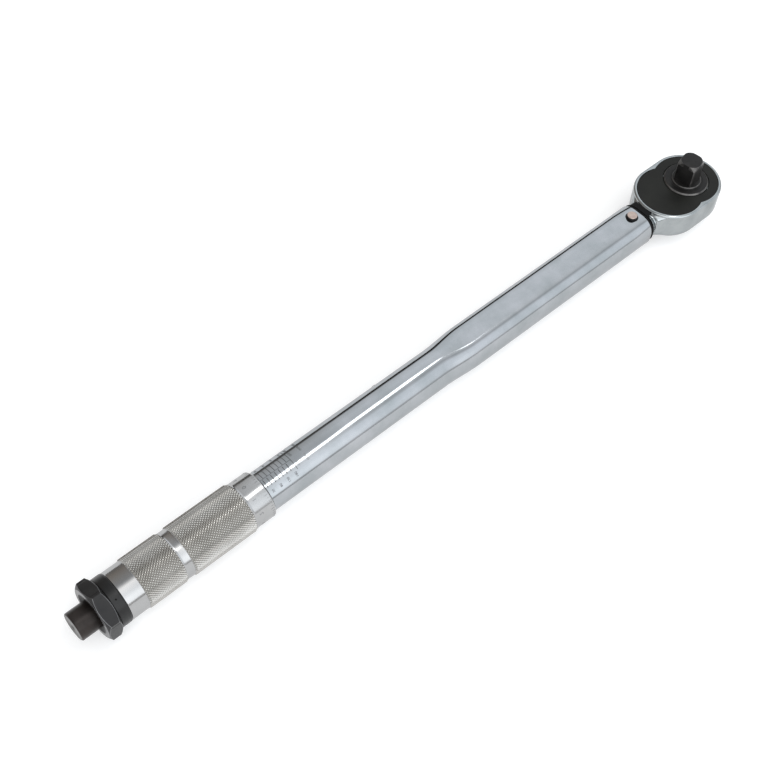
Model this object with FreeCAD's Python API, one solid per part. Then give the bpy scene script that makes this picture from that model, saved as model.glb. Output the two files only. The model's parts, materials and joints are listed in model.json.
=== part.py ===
import FreeCAD, Part
import math
import os
from FreeCAD import Rotation, Vector

# Click-type torque wrench with a reversible ratchet head, in millimetres.
# Modelled about the wrench's own centre line: X along the wrench with the handle
# towards -X, Z along the square drive, and X = 0 on the drive's axis. Every piece is
# then moved down by DRIVE_SHOULDER_Z, so that the origin is the middle of the face
# that a socket seats on.

# --- square drive and gear ---
DRIVE_SQUARE = 12.7
DRIVE_CORNER_R = 8.5          # the square's corners are turned down to this radius
DRIVE_TIP_R = 6.9
DRIVE_LEAD_IN = 2.6
DRIVE_SHOULDER_Z = 11.7
DRIVE_TIP_Z = 27.2
DRIVE_TURN = 9.0              # degrees the square stands turned from the wrench axis
BOSS_R = 9.4
HUB_R = 14.4
HUB_TOP_Z = 10.9
HUB_BEVEL = 0.7
GEAR_TEETH = 36
GEAR_TIP_R = 15.2
GEAR_ROOT_R = 13.9
GEAR_TIP_HALF_DEG = 1.0
GEAR_ROOT_HALF_DEG = 1.2
GEAR_BOTTOM_Z = -6.3
GEAR_TOP_Z = 7.8
JOURNAL_R = 11.95
JOURNAL_BOTTOM_Z = -8.6
BALL_R = 2.0
BALL_PROUD = 0.9
BALL_Z = 20.4
BALL_HOLE_R = 2.08
BALL_HOLE_DEPTH = 8.6
BALL_NORMAL_DEG = DRIVE_TURN + 90.0
BALL_SPRING = (1.2, 0.25, 5)  # coil radius, wire radius, turns
SPRING_SINK = 0.3             # how far a small spring reaches past the flat it pushes on

# --- ratchet head ---
HEAD_R = 22.9
LOBE_X = -16.0                # centre of the second lobe, over the pawl
HEAD_TOP_Z = 10.2
HEAD_BOTTOM_Z = -10.2
HEAD_TOP_ROUND = 1.2
HEAD_BOTTOM_ROUND = 6.0
PLATE_R = 20.8
PLATE_RECESS_R = 20.9
PLATE_BOTTOM_Z = 8.0
PLATE_TOP_Z = 10.1
PLATE_HOLE_R = 14.7
POCKET_FLOOR_Z = -6.4
GEAR_POCKET_R = 15.6
JOURNAL_BORE_R = 12.0
JOURNAL_FLOOR_Z = -8.8

# --- pawl, reversing lever and their plunger ---
PAWL_X = -21.0
PAWL_PIN_R = 2.0
PAWL_BORE_R = 2.06
PAWL_PIN_FOOT_Z = -8.4
PAWL_HALF_HEIGHT = 6.25
PAWL_ROCK = 7.0               # degrees from one set of teeth in mesh to the other
PAWL_INNER_R = 13.5
PAWL_WEB_R = 15.9
PAWL_OUTER_R = 18.4
PAWL_NOSE_DEG = (27.0, 46.0)  # the toothed noses, as angles from the wrench axis
PAWL_MESH_GAP = 0.15
PAWL_HUB_R = 4.2
PAWL_CUTS = 8
PAWL_BACK_X = -25.6
PAWL_FRONT_X = -17.0
PAWL_WAIST_HALF = 3.6
LEVER_X = -30.0
LEVER_STEM_R = 3.8
LEVER_BORE_R = 3.86
LEVER_STEM_TOP_Z = 6.4
LEVER_REST = 25.0             # degrees from the middle to either stop
LEVER_TOP_Z = -10.6
LEVER_PLATE_Z = -13.4
LEVER_TAB_Z = -17.2
LEVER_DISC_R = 7.4
LEVER_LENGTH = 21.0
LEVER_TAB_HALF_WIDTH = 4.2
CLIP_Z = -6.3
CLIP_THICKNESS = 0.7
CLIP_GROOVE_R = 3.0
CLIP_OUTER_R = 5.2
PLUNGER_R = 1.5
PLUNGER_HOLE_R = 1.56
PLUNGER_TIP = 5.4             # from the stem's axis to the plunger's tip
PLUNGER_TAIL = 1.8
PLUNGER_SWEEP_R = 5.55
PLUNGER_HOLE_FOOT = -2.6      # bottom of the plunger's hole, beyond the stem's axis
PLUNGER_HOLE_DEPTH = 10.0
PLUNGER_SPRING = (1.0, 0.22, 5)
CLIP_MOUTH_HALF = 1.6
LEVER_POCKET_R = 5.9
PAWL_POCKET_R = 6.2
POCKET_LENS_R = (20.3, 17.6)  # about the drive's axis and about the second lobe's
POCKET_HALF_WIDTH = 5.0

# --- neck, arm and pivot ---
NECK_BACK_X = -43.0
NECK_FRONT_X = -34.5
NECK_BACK_SIZE = (23.6, 16.4, 6.5)
NECK_FRONT_SIZE = (28.0, 18.6, 7.0)
SEAL_BACK_X = -45.6
SEAL_FRONT_X = -39.2          # reached only by the pads over and under the neck
SEAL_PAD_SPAN = (-4.8, 9.0)   # across the wrench
SEAL_SIZE = (25.2, 21.2, 9.0)
SEAL_PAD_SIZE = (25.2, 18.8, 8.0)
ARM_SIZE = (14.0, 15.0, 2.0)
ARM_END_SIZE = (10.0, 11.0, 1.5)
ARM_STEP_X = (-184.0, -190.0)
ARM_END_X = -205.0
PIVOT_X = -52.5
PIVOT_PIN_R = 3.4
PIVOT_BORE_R = 3.46
PIVOT_PIN_TOP_Z = 13.2

# --- tube ---
TUBE_FRONT_X = -46.0
TUBE_FLAT_BACK_X = -195.0
TUBE_ROUND_X = -222.0
TUBE_BACK_X = -398.5
TUBE_R = 12.25
BORE_R = 10.45
TUBE_SIZE = (26.4, 22.4, 9.5)
TUBE_INSIDE = (22.4, 18.4, 7.5)
BORE_FLAT_BACK_X = -198.0
BORE_ROUND_X = -218.0
PIN_SINK_R = 4.1
PIN_SINK_DEPTH = 0.5

# --- click mechanism ---
ROCKER_FRONT_X = -206.0
ROCKER_BACK_X = -218.0
ROCKER_END_R = 3.5
ROCKER_SEAT_R = 3.8
ROCKER_HALF_HEIGHT = 5.3
ROCKER_WAIST = 4.6
SLIDER_R = 10.38              # running fit in the tube's bore
SLIDER_FRONT_X = -219.0
SLIDER_BACK_X = -262.0
KEY_X = -257.0
KEY_R = 2.4
KEY_PROUD = 0.7
KEY_DEPTH = 3.2
KEY_SLOT_FRONT_X = -253.6
KEY_SLOT_DEPTH = 4.0
SPRING_WIRE_R = 1.9
SPRING_MEAN_R = 8.1
SPRING_TURNS = 13
SPRING_BACK_X = -352.0
SPRING_BOWL_DEPTH = 30.0
SEAT_BACK_X = -358.0
SEAT_SPIGOT_R = 5.4
SEAT_SPIGOT_LENGTH = 7.0
BEARING_BALLS = 10
BEARING_BALL_R = 1.5
BEARING_PITCH_R = 6.6
RACE_THICKNESS = 2.0

# --- adjusting screw and its fixed bush ---
SCREW_R = 7.0
SCREW_PITCH = 2.5
SCREW_GROOVE = 0.8
SCREW_CREST_HALF = 0.3
SCREW_ROOT_HALF = 0.2
BUSH_BORE_R = 7.08
BUSH_FRONT_X = -380.0
FLANGE_R = 11.6
FLANGE_FRONT_X = -433.0
TAIL_R = 8.3
TAIL_BACK_X = -470.0

# --- handle ---
HANDLE_BORE_R = 12.33         # running fit on the tube
HANDLE_FRONT_X = -349.7
HANDLE_WALL_X = -436.0
HANDLE_BACK_X = -443.9
TAIL_HOLE_R = 8.35
DOWEL_R = 1.2
DOWEL_PITCH_R = 10.0
DOWEL_BACK_X = -441.0
# outer outline from front to back: (x, radius)
HANDLE_OUTLINE = [
    (HANDLE_FRONT_X, 13.2),
    (-350.7, 14.25),
    (-362.6, 14.25),
    (-363.6, 15.1),
    (-404.2, 15.1),
    (-405.1, 14.5),
    (-408.4, 14.5),
    (-409.3, 15.1),
    (-433.0, 15.1),
    (-433.8, 14.5),
    (HANDLE_BACK_X, 14.5),
]

# --- locking collar and nut ---
COLLAR_R = 14.7
COLLAR_BACK_X = -450.2
COLLAR_BORE_R = 8.7
NUT_BACK_X = -458.5
NUT_FLATS = 30.3
NUT_FACE_R = 14.9
NUT_CHAMFER = 1.9
NUT_BORE_R = 8.37
NUT_DISH_R = 11.8
NUT_DISH_DEPTH = 1.7
NUT_CORNER_DEG = 5.7          # degrees a corner leans away from straight up
EDGE_BREAK = 0.4              # small chamfers and rounds on turned pieces


def polar(radius, degrees, cx=0.0, cy=0.0):
    a = math.radians(degrees)
    return Vector(cx + radius * math.cos(a), cy + radius * math.sin(a), 0)


def disc(radius, z0, z1, x=0.0, y=0.0):
    """A round bar along Z."""
    return Part.makeCylinder(radius, z1 - z0, Vector(x, y, z0))


def bar(radius, x_back, x_front):
    """A round bar along X."""
    return Part.makeCylinder(radius, x_front - x_back, Vector(x_back, 0, 0), Vector(1, 0, 0))


def block(x0, x1, y0, y1, z0, z1):
    return Part.makeBox(x1 - x0, y1 - y0, z1 - z0, Vector(x0, y0, z0))


def prism(points, z0, z1):
    """A closed outline in the XY plane raised from z0 to z1."""
    face = Part.Face(Part.makePolygon(points + points[:1]))
    face.translate(Vector(0, 0, z0))
    return face.extrude(Vector(0, 0, z1 - z0))


def turned(outline):
    """A solid turned about the wrench axis from (x, radius) points."""
    closed = [(outline[0][0], 0.0)] + outline + [(outline[-1][0], 0.0)]
    points = [Vector(x, 0, r) for x, r in closed]
    face = Part.Face(Part.makePolygon(points + points[:1]))
    return face.revolve(Vector(0, 0, 0), Vector(1, 0, 0), 360)


def union(shapes):
    return shapes[0].multiFuse(shapes[1:]).removeSplitter()


def spun(shape, degrees, x=0.0, y=0.0):
    """A copy turned about the upright line through (x, y)."""
    copy = shape.copy()
    copy.rotate(Vector(x, y, 0), Vector(0, 0, 1), degrees)
    return copy


def corner_points(width, height, corner):
    """The eight points of a rounded rectangle where straights meet corners, as (y, z)."""
    w, h = width / 2, height / 2
    quarter = [(w, h - corner), (w - corner, h)]
    upper = quarter + [(-y, z) for y, z in reversed(quarter)]
    return upper + [(-y, -z) for y, z in upper]


def section(x, width, height, corner):
    """A rounded rectangle across the wrench at x, as four corners and four straights."""
    pts = corner_points(width, height, corner)
    mid = corner * (1 - math.sqrt(0.5))
    w, h = width / 2 - mid, height / 2 - mid
    bends = [(w, h), (-w, h), (-w, -h), (w, -h)]
    edges = []
    for i in range(4):
        a, b, after = pts[2 * i], pts[2 * i + 1], pts[(2 * i + 2) % 8]
        arc = [Vector(x, *a), Vector(x, *bends[i]), Vector(x, *b)]
        edges.append(Part.Arc(*arc).toShape())
        edges.append(Part.makeLine(Vector(x, *b), Vector(x, *after)))
    return Part.Wire(edges)


def round_section(x, radius, like):
    """A circle split at the same eight directions as the rounded rectangle 'like'."""
    angles = [math.atan2(z, y) for y, z in corner_points(*like)]
    angles = [a % (2 * math.pi) for a in angles] + [angles[0] % (2 * math.pi) + 2 * math.pi]

    def on_circle(a):
        return Vector(x, radius * math.cos(a), radius * math.sin(a))

    edges = []
    for a, b in zip(angles, angles[1:]):
        edges.append(Part.Arc(on_circle(a), on_circle((a + b) / 2), on_circle(b)).toShape())
    return Part.Wire(edges)


def oval_bar(x_back, x_front, size):
    """A bar of rounded-rectangle section along X."""
    return Part.Face(section(x_back, *size)).extrude(Vector(x_front - x_back, 0, 0))


def coil(mean_r, wire_r, length, turns):
    """A compression spring standing on z = 0, along +Z."""
    rise = length - 2 * wire_r
    path = Part.makeHelix(rise / turns, rise, mean_r)
    wire = Part.Wire(Part.makeCircle(wire_r, Vector(mean_r, 0, 0), Vector(0, 1, 0)))
    spring = Part.Wire(path.Edges).makePipeShell([wire], True, True)
    spring.translate(Vector(0, 0, wire_r))
    return spring


def laid_along(shape, start, direction):
    """A copy of something built up +Z, laid from 'start' along 'direction'."""
    copy = shape.copy()
    turn = Rotation(Vector(0, 0, 1), direction)
    copy.rotate(Vector(0, 0, 0), turn.Axis, math.degrees(turn.Angle))
    copy.translate(start)
    return copy


def toothed_disc(z0, z1, gap=0.0):
    """The ratchet gear's teeth; a gap makes a slightly larger copy to cut with."""
    step = 360.0 / GEAR_TEETH
    widen = math.degrees(gap / GEAR_TIP_R)
    tip, root = GEAR_TIP_HALF_DEG + widen, step / 2 - GEAR_ROOT_HALF_DEG + widen
    points = []
    for i in range(GEAR_TEETH):
        a = i * step
        points.append(polar(GEAR_ROOT_R + gap, a - root))
        points.append(polar(GEAR_TIP_R + gap, a - tip))
        points.append(polar(GEAR_TIP_R + gap, a + tip))
        points.append(polar(GEAR_ROOT_R + gap, a + root))
    return prism(points, z0, z1)


def ball_direction():
    return polar(1.0, BALL_NORMAL_DEG)


def make_drive_gear():
    """Gear, bearing journal, hub and square drive in one forging."""
    half = DRIVE_SQUARE / 2
    square = block(-half, half, -half, half, DRIVE_SHOULDER_Z, DRIVE_TIP_Z)
    lead_in = Part.makeCone(DRIVE_CORNER_R, DRIVE_TIP_R, DRIVE_LEAD_IN,
                            Vector(0, 0, DRIVE_TIP_Z - DRIVE_LEAD_IN))
    shank = disc(DRIVE_CORNER_R, DRIVE_SHOULDER_Z, DRIVE_TIP_Z - DRIVE_LEAD_IN)
    square = spun(square.common(shank.fuse(lead_in)), DRIVE_TURN)
    hub = disc(HUB_R, GEAR_TOP_Z, HUB_TOP_Z - HUB_BEVEL)
    bevel = Part.makeCone(HUB_R, HUB_R - HUB_BEVEL, HUB_BEVEL,
                          Vector(0, 0, HUB_TOP_Z - HUB_BEVEL))
    boss = disc(BOSS_R, HUB_TOP_Z, DRIVE_SHOULDER_Z)
    journal = disc(JOURNAL_R, JOURNAL_BOTTOM_Z, GEAR_BOTTOM_Z)
    teeth = toothed_disc(GEAR_BOTTOM_Z, GEAR_TOP_Z)
    gear = union([teeth, journal, hub, bevel, boss, square])
    bottom = DRIVE_SQUARE / 2 - BALL_HOLE_DEPTH
    start = ball_direction() * bottom + Vector(0, 0, BALL_Z)
    hole = Part.makeCylinder(BALL_HOLE_R, BALL_HOLE_DEPTH + 1, start, ball_direction())
    return gear.cut(hole)


def make_detent_ball():
    centre = ball_direction() * (DRIVE_SQUARE / 2 + BALL_PROUD - BALL_R)
    return Part.makeSphere(BALL_R, centre + Vector(0, 0, BALL_Z))


def make_detent_spring():
    bottom = DRIVE_SQUARE / 2 - BALL_HOLE_DEPTH
    back_of_ball = DRIVE_SQUARE / 2 + BALL_PROUD - 2 * BALL_R
    mean_r, wire_r, turns = BALL_SPRING
    spring = coil(mean_r, wire_r, back_of_ball - bottom + SPRING_SINK, turns)
    return laid_along(spring, ball_direction() * bottom + Vector(0, 0, BALL_Z), ball_direction())


def two_lobes(radius, z0, z1):
    return union([disc(radius, z0, z1), disc(radius, z0, z1, LOBE_X)])


def pawl_pocket():
    """The space the pawl rocks in, with the lever's stem behind it."""
    z0, z1 = POCKET_FLOOR_Z, PLATE_BOTTOM_Z
    lens = disc(POCKET_LENS_R[0], z0, z1).common(disc(POCKET_LENS_R[1], z0, z1, LOBE_X))
    return union([
        lens,
        disc(PAWL_POCKET_R, z0, z1, PAWL_X),
        disc(LEVER_POCKET_R, z0, z1, LEVER_X),
        block(LEVER_X, PAWL_X, -POCKET_HALF_WIDTH, POCKET_HALF_WIDTH, z0, z1),
    ])


def head_body():
    """The forged oval: two round lobes joined by tangents, with rounded edges."""
    z0, z1 = HEAD_BOTTOM_Z, HEAD_TOP_Z
    body = union([
        disc(HEAD_R, z0, z1),
        disc(HEAD_R, z0, z1, LOBE_X),
        block(LOBE_X, 0, -HEAD_R, HEAD_R, z0, z1),
    ])
    upper = [e for e in body.Edges if e.BoundBox.ZMin > z1 - 0.01]
    body = body.makeFillet(HEAD_TOP_ROUND, upper)
    lower = [e for e in body.Edges if e.BoundBox.ZMax < z0 + 0.01]
    return body.makeFillet(HEAD_BOTTOM_ROUND, lower)


def neck():
    return Part.makeLoft([section(NECK_BACK_X, *NECK_BACK_SIZE),
                          section(NECK_FRONT_X, *NECK_FRONT_SIZE)], True, True)


def arm():
    """The long arm inside the tube, with a rounded seat in its end for the rocker."""
    main = oval_bar(ARM_STEP_X[0], NECK_BACK_X, ARM_SIZE)
    taper = Part.makeLoft([section(ARM_STEP_X[1], *ARM_END_SIZE),
                           section(ARM_STEP_X[0], *ARM_SIZE)], True, True)
    end = oval_bar(ARM_END_X, ARM_STEP_X[1], ARM_END_SIZE)
    seat = disc(ROCKER_SEAT_R, -10, 10, ROCKER_FRONT_X)
    pivot = disc(PIVOT_BORE_R, -10, 10, PIVOT_X)
    return union([neck(), main, taper, end]).cut(union([seat, pivot]))


def make_ratchet_head():
    head = union([head_body(), arm()])
    hollows = union([
        two_lobes(PLATE_RECESS_R, PLATE_BOTTOM_Z, HEAD_TOP_Z + 1),
        disc(GEAR_POCKET_R, POCKET_FLOOR_Z, PLATE_BOTTOM_Z),
        disc(JOURNAL_BORE_R, JOURNAL_FLOOR_Z, POCKET_FLOOR_Z),
        pawl_pocket(),
        disc(PAWL_PIN_R, PAWL_PIN_FOOT_Z, POCKET_FLOOR_Z, PAWL_X),
        disc(LEVER_BORE_R, HEAD_BOTTOM_Z - 1, POCKET_FLOOR_Z, LEVER_X),
    ])
    return head.cut(hollows)


def make_cover_plate():
    plate = two_lobes(PLATE_R, PLATE_BOTTOM_Z, PLATE_TOP_Z)
    return plate.cut(disc(PLATE_HOLE_R, PLATE_BOTTOM_Z, PLATE_TOP_Z))


def make_neck_seal():
    """A rubber ring round the arm, with a pad reaching forward over and under the neck."""
    ring = oval_bar(SEAL_BACK_X, NECK_BACK_X, SEAL_SIZE)
    pads = oval_bar(NECK_BACK_X, SEAL_FRONT_X, SEAL_PAD_SIZE).common(
        block(NECK_BACK_X, SEAL_FRONT_X, *SEAL_PAD_SPAN, -12, 12))
    arm_bar = oval_bar(SEAL_BACK_X, NECK_BACK_X, ARM_SIZE)
    return union([ring, pads]).cut(union([arm_bar, neck()])).removeSplitter()


def make_pawl_pin():
    return disc(PAWL_PIN_R, PAWL_PIN_FOOT_Z, PLATE_BOTTOM_Z, PAWL_X)


def ring_sector(inner, outer, from_deg, to_deg, z0, z1):
    """Part of a flat ring about the drive's axis."""
    wedge = prism([Vector(0, 0, 0), polar(40, from_deg), polar(40, to_deg)], z0, z1)
    return disc(outer, z0, z1).cut(disc(inner, z0, z1)).common(wedge)


def make_pawl():
    """A rocking pawl with a toothed nose on either side, held against the gear."""
    z0, z1 = -PAWL_HALF_HEIGHT, PAWL_HALF_HEIGHT
    near, far = PAWL_NOSE_DEG
    blank = union([
        ring_sector(PAWL_WEB_R, PAWL_OUTER_R, 180 - far, 180 + far, z0, z1),
        ring_sector(PAWL_INNER_R, PAWL_OUTER_R, 180 - far, 180 - near, z0, z1),
        ring_sector(PAWL_INNER_R, PAWL_OUTER_R, 180 + near, 180 + far, z0, z1),
        disc(PAWL_HUB_R, z0, z1, PAWL_X),
        block(PAWL_BACK_X, PAWL_FRONT_X, -PAWL_WAIST_HALF, PAWL_WAIST_HALF, z0, z1),
    ])
    bore = disc(PAWL_BORE_R, z0, z1, PAWL_X)
    cutter = union([toothed_disc(z0, z1, PAWL_MESH_GAP), disc(PLUNGER_SWEEP_R, z0, z1, LEVER_X)])
    for i in range(PAWL_CUTS + 1):
        rock = PAWL_ROCK * (i / PAWL_CUTS - 0.5)
        blank = blank.cut(spun(cutter, -rock, PAWL_X))
    return spun(blank.cut(bore), -PAWL_ROCK / 2, PAWL_X)


def lever_direction():
    return polar(1.0, LEVER_REST)


def on_lever(distance):
    return Vector(LEVER_X, 0, 0) + lever_direction() * distance


def make_reverse_lever():
    """Stem through the head's floor, with a flat thumb lever under the head."""
    width = LEVER_TAB_HALF_WIDTH
    plate = union([
        disc(LEVER_DISC_R, LEVER_PLATE_Z, LEVER_TOP_Z, LEVER_X),
        block(LEVER_X, LEVER_X + LEVER_LENGTH - width, -width, width, LEVER_PLATE_Z, LEVER_TOP_Z),
        disc(width, LEVER_PLATE_Z, LEVER_TOP_Z, LEVER_X + LEVER_LENGTH - width),
    ])
    tab_x = LEVER_X + LEVER_LENGTH - 2 * width
    tab = disc(width, LEVER_TAB_Z, LEVER_PLATE_Z, tab_x + width)
    tab = tab.cut(block(tab_x - 1, tab_x + width, -width, width, LEVER_TAB_Z, LEVER_PLATE_Z))
    stem = disc(LEVER_STEM_R, LEVER_PLATE_Z, LEVER_STEM_TOP_Z, LEVER_X)
    lever = spun(union([plate, tab, stem]), LEVER_REST, LEVER_X)
    groove = disc(LEVER_STEM_R + 1, CLIP_Z, CLIP_Z + CLIP_THICKNESS, LEVER_X)
    groove = groove.cut(disc(CLIP_GROOVE_R, CLIP_Z, CLIP_Z + CLIP_THICKNESS, LEVER_X))
    hole = Part.makeCylinder(PLUNGER_HOLE_R, PLUNGER_HOLE_DEPTH,
                             on_lever(PLUNGER_HOLE_FOOT), lever_direction())
    return lever.cut(union([groove, hole]))


def make_lever_clip():
    """An open spring clip in the stem's groove."""
    ring = disc(CLIP_OUTER_R, CLIP_Z, CLIP_Z + CLIP_THICKNESS, LEVER_X)
    ring = ring.cut(disc(CLIP_GROOVE_R, CLIP_Z, CLIP_Z + CLIP_THICKNESS, LEVER_X))
    mouth = block(LEVER_X - 8, LEVER_X, -CLIP_MOUTH_HALF, CLIP_MOUTH_HALF,
                  CLIP_Z, CLIP_Z + CLIP_THICKNESS)
    return ring.cut(mouth)


def make_pawl_plunger():
    body = Part.makeCylinder(PLUNGER_R, PLUNGER_TIP - PLUNGER_R - PLUNGER_TAIL,
                             on_lever(PLUNGER_TAIL), lever_direction())
    return union([body, Part.makeSphere(PLUNGER_R, on_lever(PLUNGER_TIP - PLUNGER_R))])


def make_plunger_spring():
    mean_r, wire_r, turns = PLUNGER_SPRING
    spring = coil(mean_r, wire_r, PLUNGER_TAIL - PLUNGER_HOLE_FOOT, turns)
    return laid_along(spring, on_lever(PLUNGER_HOLE_FOOT), lever_direction())


def make_body_tube():
    """Round tube whose front is pressed to a flat-topped oval around the arm."""
    outside = union([
        oval_bar(TUBE_FLAT_BACK_X, TUBE_FRONT_X, TUBE_SIZE),
        Part.makeLoft([round_section(TUBE_ROUND_X, TUBE_R, TUBE_SIZE),
                       section(TUBE_FLAT_BACK_X, *TUBE_SIZE)], True, True),
        bar(TUBE_R, TUBE_BACK_X, TUBE_ROUND_X),
    ])
    inside = union([
        oval_bar(BORE_FLAT_BACK_X, TUBE_FRONT_X, TUBE_INSIDE),
        Part.makeLoft([round_section(BORE_ROUND_X, BORE_R, TUBE_INSIDE),
                       section(BORE_FLAT_BACK_X, *TUBE_INSIDE)], True, True),
        bar(BORE_R, TUBE_BACK_X, BORE_ROUND_X),
    ])
    flat = TUBE_SIZE[1] / 2
    holes = union([
        disc(PIVOT_PIN_R, -flat - 1, flat + 1, PIVOT_X),
        disc(PIN_SINK_R, flat - PIN_SINK_DEPTH, flat + 1, PIVOT_X),
        disc(PIN_SINK_R, -flat - 1, -flat + PIN_SINK_DEPTH, PIVOT_X),
        Part.makeCylinder(KEY_R, TUBE_R, Vector(KEY_X, 0, 0), Vector(0, 1, 0)),
    ])
    return outside.cut(inside).cut(holes)


def make_pivot_pin():
    pin = disc(PIVOT_PIN_R, -PIVOT_PIN_TOP_Z, PIVOT_PIN_TOP_Z, PIVOT_X)
    return pin.makeChamfer(EDGE_BREAK, [e for e in pin.Edges if e.BoundBox.ZLength < 0.01])


def make_slider_key():
    """A stud through the tube's side that keeps the slider from turning."""
    reach = BORE_R - KEY_DEPTH
    stud = Part.makeCylinder(KEY_R, TUBE_R + KEY_PROUD - reach,
                             Vector(KEY_X, reach, 0), Vector(0, 1, 0))
    outer = [e for e in stud.Edges if e.BoundBox.YMin > TUBE_R]
    return stud.makeFillet(EDGE_BREAK, outer)


def make_tilt_block():
    """The rocker between the arm's end and the slider, round at both ends."""
    h = ROCKER_HALF_HEIGHT
    waist = ROCKER_WAIST / 2
    return union([
        disc(ROCKER_END_R, -h, h, ROCKER_FRONT_X),
        disc(ROCKER_END_R, -h, h, ROCKER_BACK_X),
        block(ROCKER_BACK_X, ROCKER_FRONT_X, -waist, waist, -h, h),
    ])


def make_thrust_slider():
    slider = bar(SLIDER_R, SLIDER_BACK_X, SLIDER_FRONT_X)
    seat = disc(ROCKER_SEAT_R, -ROCKER_HALF_HEIGHT - 0.3, ROCKER_HALF_HEIGHT + 0.3, ROCKER_BACK_X)
    slot = block(SLIDER_BACK_X, KEY_SLOT_FRONT_X, BORE_R - KEY_SLOT_DEPTH, BORE_R,
                 -KEY_R - 0.1, KEY_R + 0.1)
    bowl = bar(SEAT_SPIGOT_R, SLIDER_BACK_X, SLIDER_BACK_X + SPRING_BOWL_DEPTH)
    return slider.cut(union([seat, slot, bowl]))


def make_main_spring():
    spring = coil(SPRING_MEAN_R, SPRING_WIRE_R, SLIDER_BACK_X - SPRING_BACK_X, SPRING_TURNS)
    return laid_along(spring, Vector(SPRING_BACK_X, 0, 0), Vector(1, 0, 0))


def make_spring_seat():
    return union([
        bar(SLIDER_R, SEAT_BACK_X, SPRING_BACK_X),
        bar(SEAT_SPIGOT_R, SPRING_BACK_X, SPRING_BACK_X + SEAT_SPIGOT_LENGTH),
    ])


def race_front_x():
    return SEAT_BACK_X - 2 * BEARING_BALL_R


def make_bearing_balls():
    """The ring of loose balls between the spring seat and its race."""
    x = SEAT_BACK_X - BEARING_BALL_R
    balls = []
    for i in range(BEARING_BALLS):
        a = 2 * math.pi * i / BEARING_BALLS
        centre = Vector(x, BEARING_PITCH_R * math.cos(a), BEARING_PITCH_R * math.sin(a))
        balls.append(Part.makeSphere(BEARING_BALL_R, centre))
    return Part.makeCompound(balls)


def make_bearing_race():
    return bar(SLIDER_R, race_front_x() - RACE_THICKNESS, race_front_x())


def make_thread_bush():
    """The fixed nut in the tube's end that the adjusting screw runs in."""
    return bar(BORE_R, TUBE_BACK_X, BUSH_FRONT_X).cut(bar(BUSH_BORE_R, TUBE_BACK_X, BUSH_FRONT_X))


def make_adjusting_screw():
    """Screw, driving flange and the plain tail that stands out behind the handle."""
    tip_x = race_front_x() - RACE_THICKNESS
    outline = [(tip_x, SCREW_R - SCREW_GROOVE)]
    crest = tip_x - SCREW_PITCH / 2
    while crest - SCREW_PITCH > FLANGE_FRONT_X:
        root = crest - SCREW_PITCH / 2
        outline.append((crest + SCREW_CREST_HALF, SCREW_R))
        outline.append((crest - SCREW_CREST_HALF, SCREW_R))
        outline.append((root + SCREW_ROOT_HALF, SCREW_R - SCREW_GROOVE))
        outline.append((root - SCREW_ROOT_HALF, SCREW_R - SCREW_GROOVE))
        crest -= SCREW_PITCH
    outline += [
        (FLANGE_FRONT_X, SCREW_R - SCREW_GROOVE),
        (FLANGE_FRONT_X, FLANGE_R),
        (HANDLE_WALL_X, FLANGE_R),
        (HANDLE_WALL_X, TAIL_R),
        (TAIL_BACK_X + EDGE_BREAK, TAIL_R),
        (TAIL_BACK_X, TAIL_R - EDGE_BREAK),
    ]
    return turned(outline).cut(dowel())


def dowel():
    """The pin that keys the screw's flange to the handle's back wall."""
    return Part.makeCylinder(DOWEL_R, FLANGE_FRONT_X - DOWEL_BACK_X,
                             Vector(DOWEL_BACK_X, 0, DOWEL_PITCH_R), Vector(1, 0, 0))


def make_handle_grip():
    """The turned grip sleeve with its closed back wall."""
    grip = turned(HANDLE_OUTLINE)
    inside = union([
        bar(HANDLE_BORE_R, HANDLE_WALL_X, HANDLE_FRONT_X),
        bar(TAIL_HOLE_R, HANDLE_BACK_X, HANDLE_WALL_X),
        dowel(),
    ])
    return grip.cut(inside)


def make_lock_collar():
    ring = bar(COLLAR_R, COLLAR_BACK_X, HANDLE_BACK_X)
    ring = ring.makeChamfer(EDGE_BREAK, [e for e in ring.Edges if e.BoundBox.XLength < 0.01])
    return ring.cut(bar(COLLAR_BORE_R, COLLAR_BACK_X, HANDLE_BACK_X))


def make_lock_nut():
    """Hexagon nut, chamfered on both faces and dished around the screw's tail."""
    corner_r = NUT_FLATS / 2 / math.cos(math.radians(30))
    angles = [math.radians(90 + NUT_CORNER_DEG + 60 * i) for i in range(6)]
    points = [Vector(NUT_BACK_X, corner_r * math.cos(a), corner_r * math.sin(a)) for a in angles]
    hexagon = Part.Face(Part.makePolygon(points + points[:1]))
    hexagon = hexagon.extrude(Vector(COLLAR_BACK_X - NUT_BACK_X, 0, 0))
    envelope = turned([
        (COLLAR_BACK_X, NUT_FACE_R),
        (COLLAR_BACK_X - NUT_CHAMFER, corner_r + 0.6),
        (NUT_BACK_X + NUT_CHAMFER, corner_r + 0.6),
        (NUT_BACK_X, NUT_FACE_R),
    ])
    dish = Part.makeCone(NUT_DISH_R, NUT_BORE_R + 0.5, NUT_DISH_DEPTH,
                         Vector(NUT_BACK_X, 0, 0), Vector(1, 0, 0))
    return hexagon.common(envelope).cut(dish).cut(bar(NUT_BORE_R, NUT_BACK_X, COLLAR_BACK_X))


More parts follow.
